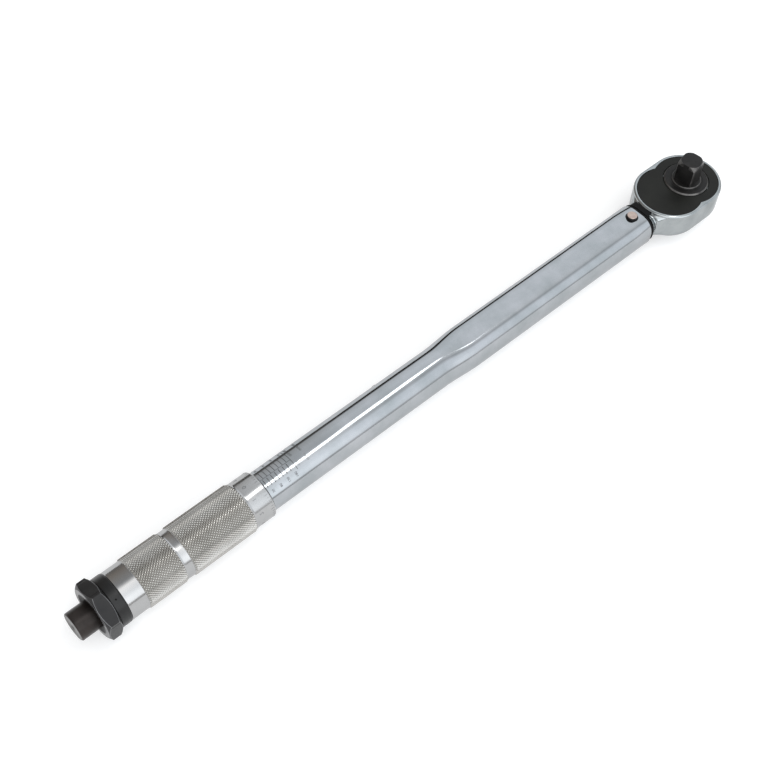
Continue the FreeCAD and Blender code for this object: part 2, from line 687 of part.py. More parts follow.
PIECES = {
    "body_tube": make_body_tube,
    "pivot_pin": make_pivot_pin,
    "slider_key": make_slider_key,
    "thread_bush": make_thread_bush,
    "main_spring": make_main_spring,
    "ratchet_head": make_ratchet_head,
    "cover_plate": make_cover_plate,
    "neck_seal": make_neck_seal,
    "pawl_pin": make_pawl_pin,
    "drive_gear": make_drive_gear,
    "detent_ball": make_detent_ball,
    "detent_spring": make_detent_spring,
    "reverse_lever": make_reverse_lever,
    "lever_clip": make_lever_clip,
    "pawl_plunger": make_pawl_plunger,
    "plunger_spring": make_plunger_spring,
    "pawl": make_pawl,
    "tilt_block": make_tilt_block,
    "thrust_slider": make_thrust_slider,
    "spring_seat": make_spring_seat,
    "bearing_balls": make_bearing_balls,
    "bearing_race": make_bearing_race,
    "handle_grip": make_handle_grip,
    "adjusting_screw": make_adjusting_screw,
    "handle_dowel": dowel,
    "lock_collar": make_lock_collar,
    "lock_nut": make_lock_nut,
}

for name, make in PIECES.items():
    piece = make()
    piece.translate(Vector(0, 0, -DRIVE_SHOULDER_Z))
    piece.exportStep("parts/" + name + ".step")
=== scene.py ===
import json
from math import asin, cos, hypot, pi, radians, sin, sqrt

import bmesh
import bpy
from mathutils import Matrix, Vector

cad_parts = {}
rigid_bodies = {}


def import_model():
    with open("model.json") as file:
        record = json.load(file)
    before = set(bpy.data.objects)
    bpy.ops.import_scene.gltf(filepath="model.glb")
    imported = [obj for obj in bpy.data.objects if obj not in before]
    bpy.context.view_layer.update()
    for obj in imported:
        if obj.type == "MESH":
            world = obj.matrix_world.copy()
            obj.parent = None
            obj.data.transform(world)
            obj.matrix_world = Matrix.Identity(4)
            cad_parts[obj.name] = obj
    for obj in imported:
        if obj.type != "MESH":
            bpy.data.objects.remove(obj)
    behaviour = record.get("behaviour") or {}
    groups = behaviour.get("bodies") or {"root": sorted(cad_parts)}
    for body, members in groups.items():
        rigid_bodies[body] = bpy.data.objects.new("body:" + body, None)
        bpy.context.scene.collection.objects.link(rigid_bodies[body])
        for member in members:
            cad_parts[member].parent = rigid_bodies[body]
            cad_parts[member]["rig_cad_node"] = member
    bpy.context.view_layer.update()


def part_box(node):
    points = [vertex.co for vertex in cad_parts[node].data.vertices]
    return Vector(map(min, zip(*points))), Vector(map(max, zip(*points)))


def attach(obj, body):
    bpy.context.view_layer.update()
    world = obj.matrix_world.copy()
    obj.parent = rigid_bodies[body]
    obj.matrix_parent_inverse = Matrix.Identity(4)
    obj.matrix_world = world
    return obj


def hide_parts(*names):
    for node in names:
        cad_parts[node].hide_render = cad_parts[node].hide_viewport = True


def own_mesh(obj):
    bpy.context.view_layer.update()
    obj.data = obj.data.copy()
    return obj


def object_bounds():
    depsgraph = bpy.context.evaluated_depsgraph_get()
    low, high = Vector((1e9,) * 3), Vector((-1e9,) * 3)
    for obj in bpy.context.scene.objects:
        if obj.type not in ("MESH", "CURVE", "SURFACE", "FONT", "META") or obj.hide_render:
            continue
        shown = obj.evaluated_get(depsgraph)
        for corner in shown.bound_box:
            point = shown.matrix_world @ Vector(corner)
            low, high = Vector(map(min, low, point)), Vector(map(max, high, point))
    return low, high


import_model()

# Torque wrench. Lengths are in millimetres about the wrench's own centre line:
# x along the wrench with the handle towards -x, z along the square drive, and
# x = 0 on the drive's axis. to_row() turns them into the row's frame in metres.
MM = 0.001
AXIS_Z = sum(corner[2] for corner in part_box("spring_seat")) / 2
ROUND = 192                    # samples round a turned surface

# tube and pivot pin
TUBE_R, TUBE_W, TUBE_H, TUBE_CORNER = 12.25, 26.4, 22.4, 9.5
TUBE_FRONT, TUBE_FLAT_BACK, TUBE_ROUND_FRONT, TUBE_BACK = -46.0, -195.0, -222.0, -398.5
TUBE_WALL = 1.9
PIVOT_X, PIN_R, PIN_TOP, PIN_BREAK = -52.5, 3.4, 13.2, 0.35
SINK_R, SINK_DEPTH = 4.1, 0.5

# head and cover plate
HEAD_R, LOBE, HEAD_TOP, HEAD_BOTTOM = 22.9, 8.0, 10.2, -10.2
HEAD_LOW_ROUND, HEAD_TOP_ROUND = 6.0, 1.4
POCKET_FLOOR, POCKET_BORE, POCKET_GAP, POCKET_BREAK = 8.0, 15.6, 0.1, 0.12
PLATE_R, PLATE_TOP, PLATE_HOLE, PLATE_BREAK = 20.8, 10.1, 14.7, 0.25

# neck and arm: the flare runs from the round lobe to the neck, and each later row
# is a rounded rectangle (x, width, height, corner)
FLARE_STEPS, FLARE_GROOVE_STEP, FLARE_GROOVE = 12, 10, 0.55
FLARE_FRONT, FLARE_AIM, FLARE_BACK = -31.6, -36.9, -40.2
FLARE_HALF, NECK_HALF, FLARE_TALL, NECK_TALL = 16.68, 11.5, 19.8, 16.4
FLARE_CORNER, NECK_CORNER = 1.6, 6.6
FLARE_LIFT = 0.70              # share of the lower half kept where the flare starts
NECK = [(-40.6, 23.4, 16.4, 6.6), (-41.0, 21.8, 15.4, 6.4), (-41.5, 21.8, 15.4, 6.4),
        (-41.9, 23.4, 16.4, 6.5), (-42.8, 23.6, 16.4, 6.5), (-43.0, 23.2, 16.0, 6.3)]
ARM = [(x, 14.0, 15.0, 2.2) for x in (-43.0, -60, -120, -184)]
ARM += [(-190.0, 10.0, 11.0, 1.6), (-204.6, 10.0, 11.0, 1.6), (-205.0, 9.4, 10.4, 1.4)]
ARM_BACK = -205.0

# seal
SEAL_W, SEAL_H, SEAL_CORNER, SEAL_FRONT = 25.2, 21.2, 9.0, -39.2
SEAL_RIBS = [(-42.9, -1.0), (-43.0, -0.2), (-43.3, 0.0), (-43.7, 0.0), (-44.0, -0.45),
             (-44.4, -0.45), (-44.7, 0.0), (-45.2, 0.0), (-45.5, -0.2), (-45.6, -1.2)]
SEAL_HOLE_W, SEAL_HOLE_H, SEAL_HOLE_CORNER = 14.2, 15.2, 2.2
PAD_TOP, PAD_NEAR, PAD_FAR, PAD_UNDER, PAD_BACK = 9.4, -4.8, 9.0, 7.6, -43.2

# drive
SQUARE, CORNER_R, TIP_R, SHOULDER, TIP_Z, TURN = 12.7, 8.5, 6.9, 11.7, 27.2, 9.0
LEAD_IN_Z, LEAD_IN_STEPS = 24.6, 10
GEAR_BOTTOM, GEAR_TOP, TEETH, TOOTH_TIP_R, TOOTH_ROOT_R = -6.3, 7.8, 36, 15.2, 13.9
JOURNAL_BOTTOM, JOURNAL_R = -8.6, 11.95
HUB_R, HUB_TOP, HUB_BEVEL, BOSS_R = 14.4, 10.9, 0.8, 9.35

# lever
LEVER_X, LEVER_REST = -30.0, 25.0
LEVER_TOP, LEVER_BOTTOM, STEM_R, STEM_TOP = -10.6, -13.4, 3.8, 6.4
LEVER_DISC_R, LEVER_TAB_R, LEVER_REACH, LEVER_MIDDLE = 7.4, 4.2, 16.8, 5.0
CLIP_R, CLIP_BOTTOM, CLIP_TOP = 3.0, -6.3, -5.6
RIBS, RIB_START, RIB_STEP, RIB_FOOT, RIB_HALF, RIB_DROP = 3, 17.2, 1.35, -13.2, 3.9, -17.2

# grip
BAND_R, KNURL_R, THIMBLE_R = 14.5, 15.1, 14.25
GRIP_FRONT, GRIP_BACK, GRIP_WALL, GRIP_BORE = -349.7, -443.9, -436.0, 12.33
GRIP_MOUTH_R, GRIP_HOLE = 13.2, 8.4
LIP_R, LIP_FOOT_R, LIP_HALF, LIP_RUN = 14.66, 14.2, 0.1, 0.8
KNURLS = [(-363.6, -404.2), (-409.3, -433.0)]
KNURL_DEPTH, KNURL_AROUND, KNURL_STEP, KNURL_LAND = 0.55, 57, 1.85, 0.26
KNURL_FADE, KNURL_DROP = 0.9, 0.42

# nut, collar and tail
NUT_FRONT, NUT_BACK, NUT_FLATS, NUT_FACE_R, NUT_CHAMFER = -450.2, -458.5, 30.3, 14.9, 1.9
NUT_CORNER, NUT_CORNER_SPARE, NUT_BORE = 5.7, 0.6, 8.4
NUT_BREAK, NUT_DISH_R, NUT_DISH_DEPTH = 0.12, 12.0, 2.0
COLLAR_R, COLLAR_BORE = 14.7, 8.7
NOTCH_X, NOTCH_TURN, NOTCH_SIZE = -447.3, 30.0, (0.6, 0.5, 0.25)
TAIL_R, TAIL_BACK, TAIL_GAP = 8.3, -470.0, 0.03
FLANGE_FRONT, FLANGE_R = -433.0, 11.5
CREST_R, ROOT_R, PITCH, CREST_HALF, ROOT_HALF = 7.0, 6.2, 2.5, 0.15, 0.55

# scale
SCALE_STEP, SCALE_MARKS, THIMBLE_MARKS, THIMBLE_FIGURES = 2.66, 7, 50, 10
MARK_LIFT = 0.03               # how far a mark stands off the metal
SCALE_TURN = 90.0              # the scale faces up
THIMBLE_LINE_X, THIMBLE_FIGURE_X, THIMBLE_FIGURE_TURN = -351.0, -359.2, 84.0


# ---- mesh tools

def to_row(x, y, z):
    return (x * MM, y * MM, z * MM + AXIS_Z)


def make_object(name, verts, faces, material, body, node=None, slots=None, sharp=32.0):
    """A mesh in the row's frame from millimetre vertices, smooth but for its sharp edges."""
    mesh = bpy.data.meshes.new(name)
    mesh.from_pydata([to_row(*v) for v in verts], [], faces)
    for m in material if isinstance(material, list) else [material]:
        mesh.materials.append(m)
    if slots:
        mesh.polygons.foreach_set("material_index", slots)
    shell = bmesh.new()
    shell.from_mesh(mesh)
    bmesh.ops.recalc_face_normals(shell, faces=shell.faces)
    shell.to_mesh(mesh)
    shell.free()
    mesh.shade_smooth()
    mesh.set_sharp_from_angle(angle=radians(sharp))
    obj = bpy.data.objects.new(name, mesh)
    bpy.context.scene.collection.objects.link(obj)
    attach(obj, body)
    if node:
        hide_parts(node)
    return obj


def stack(rings, closed=False):
    """Quads between rings of equal length. A ring of one point closes that end."""
    verts, starts = [], []
    for ring in rings:
        starts.append(len(verts))
        verts.extend(ring)
    pairs = list(zip(range(len(rings)), range(1, len(rings))))
    if closed:
        pairs.append((len(rings) - 1, 0))
    faces = []
    for a, b in pairs:
        na, nb = len(rings[a]), len(rings[b])
        n = max(na, nb)
        for i in range(n):
            j = (i + 1) % n
            face = [starts[a] + i % na, starts[a] + j % na,
                    starts[b] + j % nb, starts[b] + i % nb]
            face = list(dict.fromkeys(face))
            if len(face) > 2:
                faces.append(face)
    return verts, faces


def tip_of(ring):
    """A ring of one point at another ring's middle, to close it."""
    return [tuple(sum(c) / len(ring) for c in zip(*ring))]


def round_points(r, n):
    """Points round a circle, or its middle alone where it has no size."""
    if r <= 1e-6:
        return [(0.0, 0.0)]
    angles = [2 * pi * i / n for i in range(n)]
    return [(r * cos(a), r * sin(a)) for a in angles]


def circle_x(x, r, n=ROUND):
    """A ring about the wrench's centre line."""
    return [(x, a, b) for a, b in round_points(r, n)]


def circle_z(z, r, cx=0.0, cy=0.0, n=ROUND):
    """A ring about an upright axis."""
    return [(cx + a, cy + b, z) for a, b in round_points(r, n)]


def curve_at(a, b, c, t):
    """The point at t on a curve that runs from a to c and aims at b."""
    return a * (1 - t) ** 2 + b * (2 * t * (1 - t)) + c * t ** 2


def eased(points, radius, steps=4):
    """A polyline of (along, r) points with each inner corner rounded off."""
    out = [points[0]]
    for a, b, c in zip(points, points[1:], points[2:]):
        pa, pb, pc = Vector(a), Vector(b), Vector(c)
        la, lc = (pa - pb).length, (pc - pb).length
        cut = min(radius, 0.45 * la, 0.45 * lc)
        if cut < 1e-4:
            out.append(b)
            continue
        start, end = pb + (pa - pb) * (cut / la), pb + (pc - pb) * (cut / lc)
        for i in range(steps + 1):
            p = curve_at(start, pb, end, i / steps)
            out.append((p.x, p.y))
    return out + [points[-1]]


def lathe_x(profile, n=ROUND):
    return stack([circle_x(x, r, n) for x, r in profile])


def lathe_z(profile, cx=0.0, cy=0.0, n=ROUND):
    return stack([circle_z(z, r, cx, cy, n) for z, r in profile])


def merged(*parts):
    """Several (verts, faces) pairs as one."""
    verts, faces = [], []
    for v, f in parts:
        base = len(verts)
        verts.extend(v)
        faces.extend([[base + i for i in face] for face in f])
    return verts, faces


def rect_ring(x, width, height, corner, bend=10, run=8):
    """A rounded rectangle across the wrench."""
    w, h = width / 2 - corner, height / 2 - corner
    centres = [(w, h), (-w, h), (-w, -h), (w, -h)]
    pts = []                   # the corners' bends, each followed by a straight side
    for k, (cy, cz) in enumerate(centres):
        for i in range(bend):
            a = pi / 2 * (k + i / bend)
            pts.append((cy + corner * cos(a), cz + corner * sin(a)))
        a = pi / 2 * (k + 1)
        here = (cy + corner * cos(a), cz + corner * sin(a))
        ny, nz = centres[(k + 1) % 4]
        there = (ny + corner * cos(a), nz + corner * sin(a))
        for i in range(run):
            t = i / run
            pts.append((here[0] + (there[0] - here[0]) * t, here[1] + (there[1] - here[1]) * t))
    return [(x, y, z) for y, z in pts]


def toward_circle(ring, radius, share):
    """A ring moved towards a circle, each point along its own direction."""
    out = []
    for x, y, z in ring:
        reach = hypot(y, z)
        k = (1 - share) + share * radius / reach
        out.append((x, y * k, z * k))
    return out


def smooth(t):
    """Eases in and out between 0 and 1."""
    t = max(0.0, min(1.0, t))
    return t * t * (3 - 2 * t)


def cut_holes(obj, cutters):
    """Cuts closed meshes out of obj for good."""
    for verts, faces in cutters:
        mesh = bpy.data.meshes.new("cutter")
        mesh.from_pydata([to_row(*v) for v in verts], [], faces)
        tool = bpy.data.objects.new("cutter", mesh)
        bpy.context.scene.collection.objects.link(tool)
        mod = obj.modifiers.new("cut", "BOOLEAN")
        mod.operation, mod.solver, mod.object = "DIFFERENCE", "EXACT", tool
        bpy.context.view_layer.update()
        done = obj.evaluated_get(bpy.context.evaluated_depsgraph_get())
        cut = bpy.data.meshes.new_from_object(done)
        obj.modifiers.remove(mod)
        obj.data = cut
        bpy.data.objects.remove(tool)
    obj.data.set_sharp_from_angle(angle=radians(30))


# ---- materials

def nodes_of(name):
    """A new material, its node tree and its shader."""
    mat = bpy.data.materials.new(name)
    mat.use_nodes = True
    tree = mat.node_tree
    return mat, tree, tree.nodes["Principled BSDF"]


def add_node(tree, kind, values=None, links=None, **setup):
    """A shader node with its options set, and its inputs set or linked."""
    node = tree.nodes.new("ShaderNode" + kind)
    for option, value in setup.items():
        setattr(node, option, value)
    for key, value in (values or {}).items():
        node.inputs[key].default_value = value
    for key, socket in (links or {}).items():
        tree.links.new(socket, node.inputs[key])
    return node


def noise(tree, scale, detail, stretch=(1, 1, 1)):
    """A noise value fixed to the piece, stretched along the axes given."""
    coord = add_node(tree, "TexCoord")
    mapping = add_node(tree, "Mapping", {"Scale": stretch}, {"Vector": coord.outputs["Object"]})
    tex = add_node(tree, "TexNoise", {"Scale": scale, "Detail": detail, "Roughness": 0.55},
                   {"Vector": mapping.outputs["Vector"]})
    return tex.outputs["Fac"]


def spread(tree, value, low, high):
    """Maps the middle of a noise value's range to the range from low to high."""
    limits = {"From Min": 0.3, "From Max": 0.7, "To Min": low, "To Max": high}
    return add_node(tree, "MapRange", limits, {"Value": value}).outputs["Result"]


def mixed(tree, share, a, b):
    """A colour a share of the way from a to b, each of them plain or another node's."""
    node = add_node(tree, "Mix", None, {0: share}, data_type="RGBA")
    for key, colour in ((6, a), (7, b)):
        if isinstance(colour, tuple):
            node.inputs[key].default_value = (*colour, 1)
        else:
            tree.links.new(colour, node.inputs[key])
    return node.outputs[2]


def bump(tree, shader, value, depth_mm, under=None):
    """Relief from a value, laid over an earlier bump if one is given."""
    relief = add_node(tree, "Bump", {"Distance": depth_mm * MM}, {"Height": value})
    if under:
        tree.links.new(under.outputs["Normal"], relief.inputs["Normal"])
    tree.links.new(relief.outputs["Normal"], shader.inputs["Normal"])
    return relief


WAVE_SCALE = 16.0              # the slow unevenness of drawn tube


def surface(name, dark, light, rough, metallic, grain=900.0, stretch=(1, 1, 1), relief=0.01,
            patch=60.0, shine=0.5, tint=1.0, wave=0.0):
    """A finish with patchy colour, uneven gloss and a fine grain in its relief."""
    mat, tree, shader = nodes_of(name)
    shader.inputs["Metallic"].default_value = metallic
    shader.inputs["Specular IOR Level"].default_value = shine
    shader.inputs["Specular Tint"].default_value = (tint, tint, tint, 1)
    patches = noise(tree, patch, 5.0)
    fine = noise(tree, grain, 3.0, stretch)
    tree.links.new(mixed(tree, spread(tree, patches, 0, 1), dark, light),
                   shader.inputs["Base Color"])
    low, high = rough[0] / 2, rough[1] / 2
    both = add_node(tree, "Math", None, {0: spread(tree, patches, low, high),
                                         1: spread(tree, fine, low, high)}, operation="ADD")
    tree.links.new(both.outputs[0], shader.inputs["Roughness"])
    swell = bump(tree, shader, noise(tree, WAVE_SCALE, 1.0), wave) if wave else None
    bump(tree, shader, fine, relief, swell)
    return mat


# name, dark and light colour, roughness range, metallic, and what differs from the rest
FINISHES = {
    "tube": ("tube_chrome", (0.328, 0.350, 0.362), (0.425, 0.438, 0.458), (0.05, 0.13), 1.0,
             dict(grain=500, stretch=(0.05, 1, 1), relief=0.002, patch=60, tint=0.75, wave=0.7)),
    "head": ("head_chrome", (0.285, 0.305, 0.31), (0.385, 0.405, 0.41), (0.07, 0.16), 1.0,
             dict(grain=260, relief=0.010, patch=95, tint=0.75)),
    "grip": ("grip_satin", (0.38, 0.38, 0.38), (0.43, 0.43, 0.43), (0.10, 0.20), 1.0,
             dict(grain=700, stretch=(1, 0.2, 0.2), relief=0.002, patch=50, tint=0.8)),
    # knurl and groove are lighter and darker copies of the grip's steel: painted highlight on the
    # lands and painted shade in the grooves
    "knurl": ("grip_knurl", (0.52, 0.51, 0.49), (0.60, 0.59, 0.57), (0.15, 0.22), 1.0,
              dict(grain=1500, relief=0.002, patch=80)),
    "groove": ("grip_grooves_painted_shade", (0.38, 0.37, 0.35), (0.46, 0.45, 0.43), (0.15, 0.23), 1.0,
               dict(grain=1500, relief=0.002, patch=80)),
    "oxide": ("black_oxide", (0.008, 0.008, 0.009), (0.022, 0.021, 0.021), (0.30, 0.50), 0.3,
              dict(grain=1600, relief=0.006, patch=90, shine=0.35)),
    "worn": ("worn_edge", (0.07, 0.07, 0.072), (0.22, 0.22, 0.225), (0.25, 0.42), 0.8,
             dict(grain=1200, relief=0.004, patch=160)),
    "drive": ("drive_black", (0.0060, 0.0057, 0.0055), (0.0175, 0.0165, 0.0158), (0.36, 0.52), 0.15,
              dict(grain=1500, relief=0.008, patch=130, shine=0.25)),
    # rim: a lighter finish for rubbed edges, also used as painted highlight on the drive's hub
    # bevel, boss edge and square
    "rim": ("rubbed_rim_and_painted_highlight", (0.040, 0.038, 0.037), (0.150, 0.145, 0.140), (0.28, 0.45), 0.7,
            dict(grain=1300, relief=0.004, patch=180)),
    "blued": ("blued_tail", (0.013, 0.010, 0.009), (0.038, 0.031, 0.028), (0.28, 0.44), 0.6,
              dict(grain=1500, stretch=(1, 0.1, 0.1), relief=0.006, patch=110, shine=0.4)),
    "plate": ("cover_black", (0.0050, 0.0052, 0.0040), (0.0110, 0.0114, 0.0092), (0.42, 0.55), 0.0,
              dict(grain=2600, relief=0.010, patch=70, shine=0.2)),
    "rubber": ("seal_rubber", (0.0025, 0.0025, 0.0025), (0.006, 0.006, 0.006), (0.45, 0.65), 0.0,
               dict(grain=1400, relief=0.012, patch=90, shine=0.12)),
    "plastic": ("collar_black", (0.005, 0.005, 0.0052), (0.011, 0.011, 0.011), (0.26, 0.42), 0.0,
                dict(grain=1800, relief=0.005, patch=70, shine=0.35)),
    "pin": ("pin_steel", (0.36, 0.27, 0.23), (0.56, 0.46, 0.41), (0.28, 0.46), 0.9,
            dict(grain=1500, relief=0.008, patch=260)),
    "steel": ("machined_steel", (0.30, 0.30, 0.31), (0.46, 0.46, 0.47), (0.25, 0.42), 1.0,
              dict(grain=900, stretch=(1, 0.15, 0.15), relief=0.004, patch=90)),
    "spring": ("spring_wire", (0.10, 0.095, 0.09), (0.19, 0.18, 0.17), (0.30, 0.50), 0.9,
               dict(grain=1500, relief=0.005, patch=120)),
    "bearing": ("bearing_steel", (0.62, 0.62, 0.63), (0.70, 0.70, 0.71), (0.05, 0.12), 1.0,
                dict(grain=900, relief=0.001, patch=90)),
    "figure": ("engraved_figures", (0.17, 0.175, 0.18), (0.27, 0.275, 0.28), (0.4, 0.6), 0.9,
               dict(grain=2500, relief=0.004, patch=300)),
    "mark": ("engraved_marks", (0.06, 0.06, 0.062), (0.13, 0.13, 0.132), (0.5, 0.7), 0.9,
             dict(grain=2500, relief=0.004, patch=300)),
}
MAT = {key: surface(*row[:-1], **row[-1]) for key, row in FINISHES.items()}


# ---- tube

def tube_ring(x, grow):
    """The tube's section at x: flat-topped in front, round behind, smooth between."""
    share = smooth((TUBE_FLAT_BACK - x) / (TUBE_FLAT_BACK - TUBE_ROUND_FRONT))
    ring = rect_ring(x, TUBE_W + 2 * grow, TUBE_H + 2 * grow, max(TUBE_CORNER + grow, 1.0))
    return toward_circle(ring, TUBE_R + grow, share)


def make_tube():
    """The tube, outside and bore, with a sunk round seat for the pin above and below, each seat
    holding a thin dark ring as painted shade.
    """
    front_edge, back_edge = [(0.0, -0.5), (0.15, -0.15), (0.5, 0.0)], 0.4
    outer = [tube_ring(TUBE_FRONT - dx, grow) for dx, grow in front_edge]
    outer += [tube_ring(x, 0.0) for x in (-60, -110, -160, -190)]
    change, steps = TUBE_ROUND_FRONT - TUBE_FLAT_BACK, 24
    outer += [tube_ring(TUBE_FLAT_BACK + change * i / steps, 0.0) for i in range(steps + 1)]
    outer += [tube_ring(x, 0.0) for x in (-270, -320, -360, TUBE_BACK + back_edge)]
    outer.append(tube_ring(TUBE_BACK, -back_edge))
    inner = [tube_ring(x, -TUBE_WALL)
             for x in (TUBE_BACK, -300, -225, -208, TUBE_FLAT_BACK, -120, TUBE_FRONT)]
    verts, faces = stack(outer + inner, closed=True)
    tube = make_object("body_tube_chrome", verts, faces, [MAT["tube"], MAT["steel"]], "tube",
                       "body_tube")
    flat = TUBE_H / 2
    cuts = []
    for side in (1, -1):
        z0, z1 = sorted((side * (flat - SINK_DEPTH), side * (flat + 2)))
        cuts.append(lathe_z([(z0, 0), (z0, SINK_R), (z1, SINK_R), (z1, 0)], PIVOT_X, n=64))
        # a thin dark ring laid in each seat: painted shade in the recess round the pin
        z_dark = side * (flat - SINK_DEPTH + 0.05)
        shade = lathe_z([(z_dark, PIN_R - 0.5), (z_dark, SINK_R - 0.02)], PIVOT_X, n=64)
        ring = make_object("pin_recess_" + ("top" if side > 0 else "under"), *shade, MAT["oxide"],
                           "tube")
    cut_holes(tube, cuts)


def make_pin():
    """The pivot pin: bright ends, the upper one slightly dished, and a shank in the dark oxide
    finish, painted shade on its side wall.
    """
    shank, dish = PIN_TOP - 0.5, PIN_TOP - 0.06
    profile = eased([(-PIN_TOP, 0), (-PIN_TOP, PIN_R - PIN_BREAK), (-shank, PIN_R), (shank, PIN_R),
                     (PIN_TOP, PIN_R - PIN_BREAK), (dish, PIN_R - 1.0), (dish, 0)], 0.2)
    verts, faces = lathe_z(profile, PIVOT_X, n=64)
    # the shank's faces take the dark finish: painted shade on the pin's side wall
    slots = [1 if abs(verts[f[0]][2]) < PIN_TOP - 0.3 else 0 for f in faces]
    pin = make_object("pivot_pin_steel", verts, faces, [MAT["pin"], MAT["oxide"]], "tube",
                      "pivot_pin", slots)


def make_key():
    """The stud that keys the slider, on the tube's far side."""
    lo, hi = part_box("slider_key")
    cx = (lo[0] + hi[0]) / 2 / MM
    y0, y1 = lo[1] / MM, hi[1] / MM
    r = (hi[0] - lo[0]) / 2 / MM
    profile = eased([(y0, 0), (y0, r), (y1, r), (y1, 0)], 0.5)
    rings = []
    for y, rad in profile:
        ring = circle_z(0, rad, n=48)
        rings.append([(cx + a, y, b) for a, b, _ in ring])
    verts, faces = stack(rings)
    key = make_object("slider_key_stud", verts, [f[::-1] for f in faces], MAT["spring"], "tube",
                      "slider_key")


# ---- scale

def wrap(x, along, radius, degrees):
    """A point at x, 'along' millimetres round from the given direction."""
    a = radians(degrees) - along / radius
    return (x, radius * cos(a), radius * sin(a))


def mark(x0, x1, along0, along1, radius, degrees, parts=8):
    """A thin bar wrapped on a round surface, one engraved line."""
    verts, faces = [], []
    for i in range(parts + 1):
        along = along0 + (along1 - along0) * i / parts
        verts += [wrap(x0, along, radius, degrees), wrap(x1, along, radius, degrees)]
    for i in range(parts):
        faces.append([2 * i, 2 * i + 1, 2 * i + 3, 2 * i + 2])
    return verts, faces


def numeral(text, size, x, along, radius, degrees):
    """Figures wrapped on a round surface, their tops towards the head."""
    curve = bpy.data.curves.new("figures", "FONT")
    curve.body, curve.size = text, size
    curve.align_x, curve.align_y = "CENTER", "CENTER"
    curve.resolution_u = 3
    holder = bpy.data.objects.new("figures", curve)
    bpy.context.scene.collection.objects.link(holder)
    bpy.context.view_layer.update()
    flat = bpy.data.meshes.new_from_object(holder)
    verts = [wrap(x + v.co.y, along + v.co.x, radius, degrees) for v in flat.vertices]
    faces = [list(p.vertices) for p in flat.polygons]
    bpy.data.objects.remove(holder)
    bpy.data.curves.remove(curve)
    bpy.data.meshes.remove(flat)
    return verts, faces


def make_scale():
    """Engraved divisions of one turn of the grip, with figures either side of them."""
    radius, top = TUBE_R + MARK_LIFT, SCALE_TURN
    first = GRIP_FRONT + 2.4
    last = first + SCALE_STEP * SCALE_MARKS
    faint = []
    parts = [mark(GRIP_FRONT, last, -0.10, 0.10, radius, top),
             mark(last - 0.15, last + 0.15, -6.6, 11.8, radius, top, 24)]
    for i in range(SCALE_MARKS):
        x = first + SCALE_STEP * i
        parts.append(mark(x - 0.16, x + 0.16, 0.2, 6.6, radius, top, 12))
        parts.append(mark(x - 1.15, x - 0.75, -5.4, -0.6, radius, top, 12))
        if i % 2 == 0:
            parts.append(numeral(str(30 + 25 * i), 2.1, x + 0.5, -8.6, radius, top))
            faint.append(numeral(str(20 + 20 * i), 2.1, x + 0.5, 8.4, radius, top))
            faint.append(numeral(str(2 * i + 2), 2.1, x + 0.5, 12.4, radius, top))
    # two rows of short bars stand in for lettering
    for x, wide in ((last + 2.0, 5), (last + 8.2, 7)):
        for along in (-3.6, 3.4, 8.2):
            for k in range(wide):
                at = along + 0.62 * (k - wide / 2)
                faint.append(mark(x - 0.7, x + 0.7, at - 0.13, at + 0.13, radius, top, 1))
    for name, group, finish in (("tube_scale_marks", parts, "mark"),
                                ("tube_scale_figures", faint, "figure")):
        marks = make_object(name, *merged(*group), MAT[finish], "tube")


def make_thimble_marks():
    """Divisions and figures round the grip's plain front end."""
    radius = THIMBLE_R + MARK_LIFT
    parts = []
    for i in range(THIMBLE_MARKS):
        length = 2.4 if i % 5 == 0 else 1.4
        turn = SCALE_TURN + 360 * i / THIMBLE_MARKS
        parts.append(mark(THIMBLE_LINE_X - length, THIMBLE_LINE_X, -0.1, 0.1, radius, turn, 1))
    for i in range(THIMBLE_FIGURES):
        turn = THIMBLE_FIGURE_TURN + 360 / THIMBLE_FIGURES * i
        parts.append(numeral(str(i), 3.4, THIMBLE_FIGURE_X, 0, radius, turn))
    verts, faces = merged(*parts)
    marks = make_object("grip_front_marks", verts, faces, MAT["figure"], "handle")


# ---- grip

def knurl(x_front, x_back):
    """Crossed grooves leaving small four-sided lands, lower at both ends."""
    rows = max(4, int(round((x_front - x_back) / (KNURL_STEP / 2))))
    n = KNURL_AROUND
    verts, faces = [], []

    def crest(x):
        edge = min(x_front - x, x - x_back) / KNURL_FADE
        return KNURL_R - KNURL_DROP * (1 - min(1.0, edge))

    def at(x, turn, r):
        a = 2 * pi * turn / n
        return (x, r * cos(a), r * sin(a))

    xs = [x_front + (x_back - x_front) * j / rows for j in range(rows + 1)]
    for j, x in enumerate(xs):
        for i in range(n):
            verts.append(at(x, i + 0.5 * (j % 2), crest(x) - KNURL_DEPTH))
    for j, x in enumerate(xs):
        for i in range(n):
            shift = j % 2
            across = i + 0.5 + 0.5 * shift
            before, after = xs[max(j - 1, 0)], xs[min(j + 1, rows)]
            beyond = (i + shift) % n
            corners = [j * n + i]
            places = [(x, across - 0.5)]
            if j > 0:
                corners.append((j - 1) * n + beyond)
                places.append((before, across))
            corners.append(j * n + (i + 1) % n)
            places.append((x, across + 0.5))
            if j < rows:
                corners.append((j + 1) * n + beyond)
                places.append((after, across))
            base = len(verts)
            for px, turn in places:
                verts.append(at(x + (px - x) * KNURL_LAND, across + (turn - across) * KNURL_LAND,
                                crest(x)))
            count = len(corners)
            faces.append([base + k for k in range(count)])
            for k in range(count):
                m = (k + 1) % count
                if count == 3 and abs(places[k][1] - places[m][1]) > 0.9:
                    continue
                faces.append([corners[k], corners[m], base + m, base + k])
    return verts, faces


def lip(x, way, r, run):
    """A plain surface's raised lip beside a knurl that ends at x, from the plain side."""
    return [(x + way * run, r), (x + way * LIP_HALF, LIP_R), (x - way * LIP_HALF, LIP_FOOT_R)]


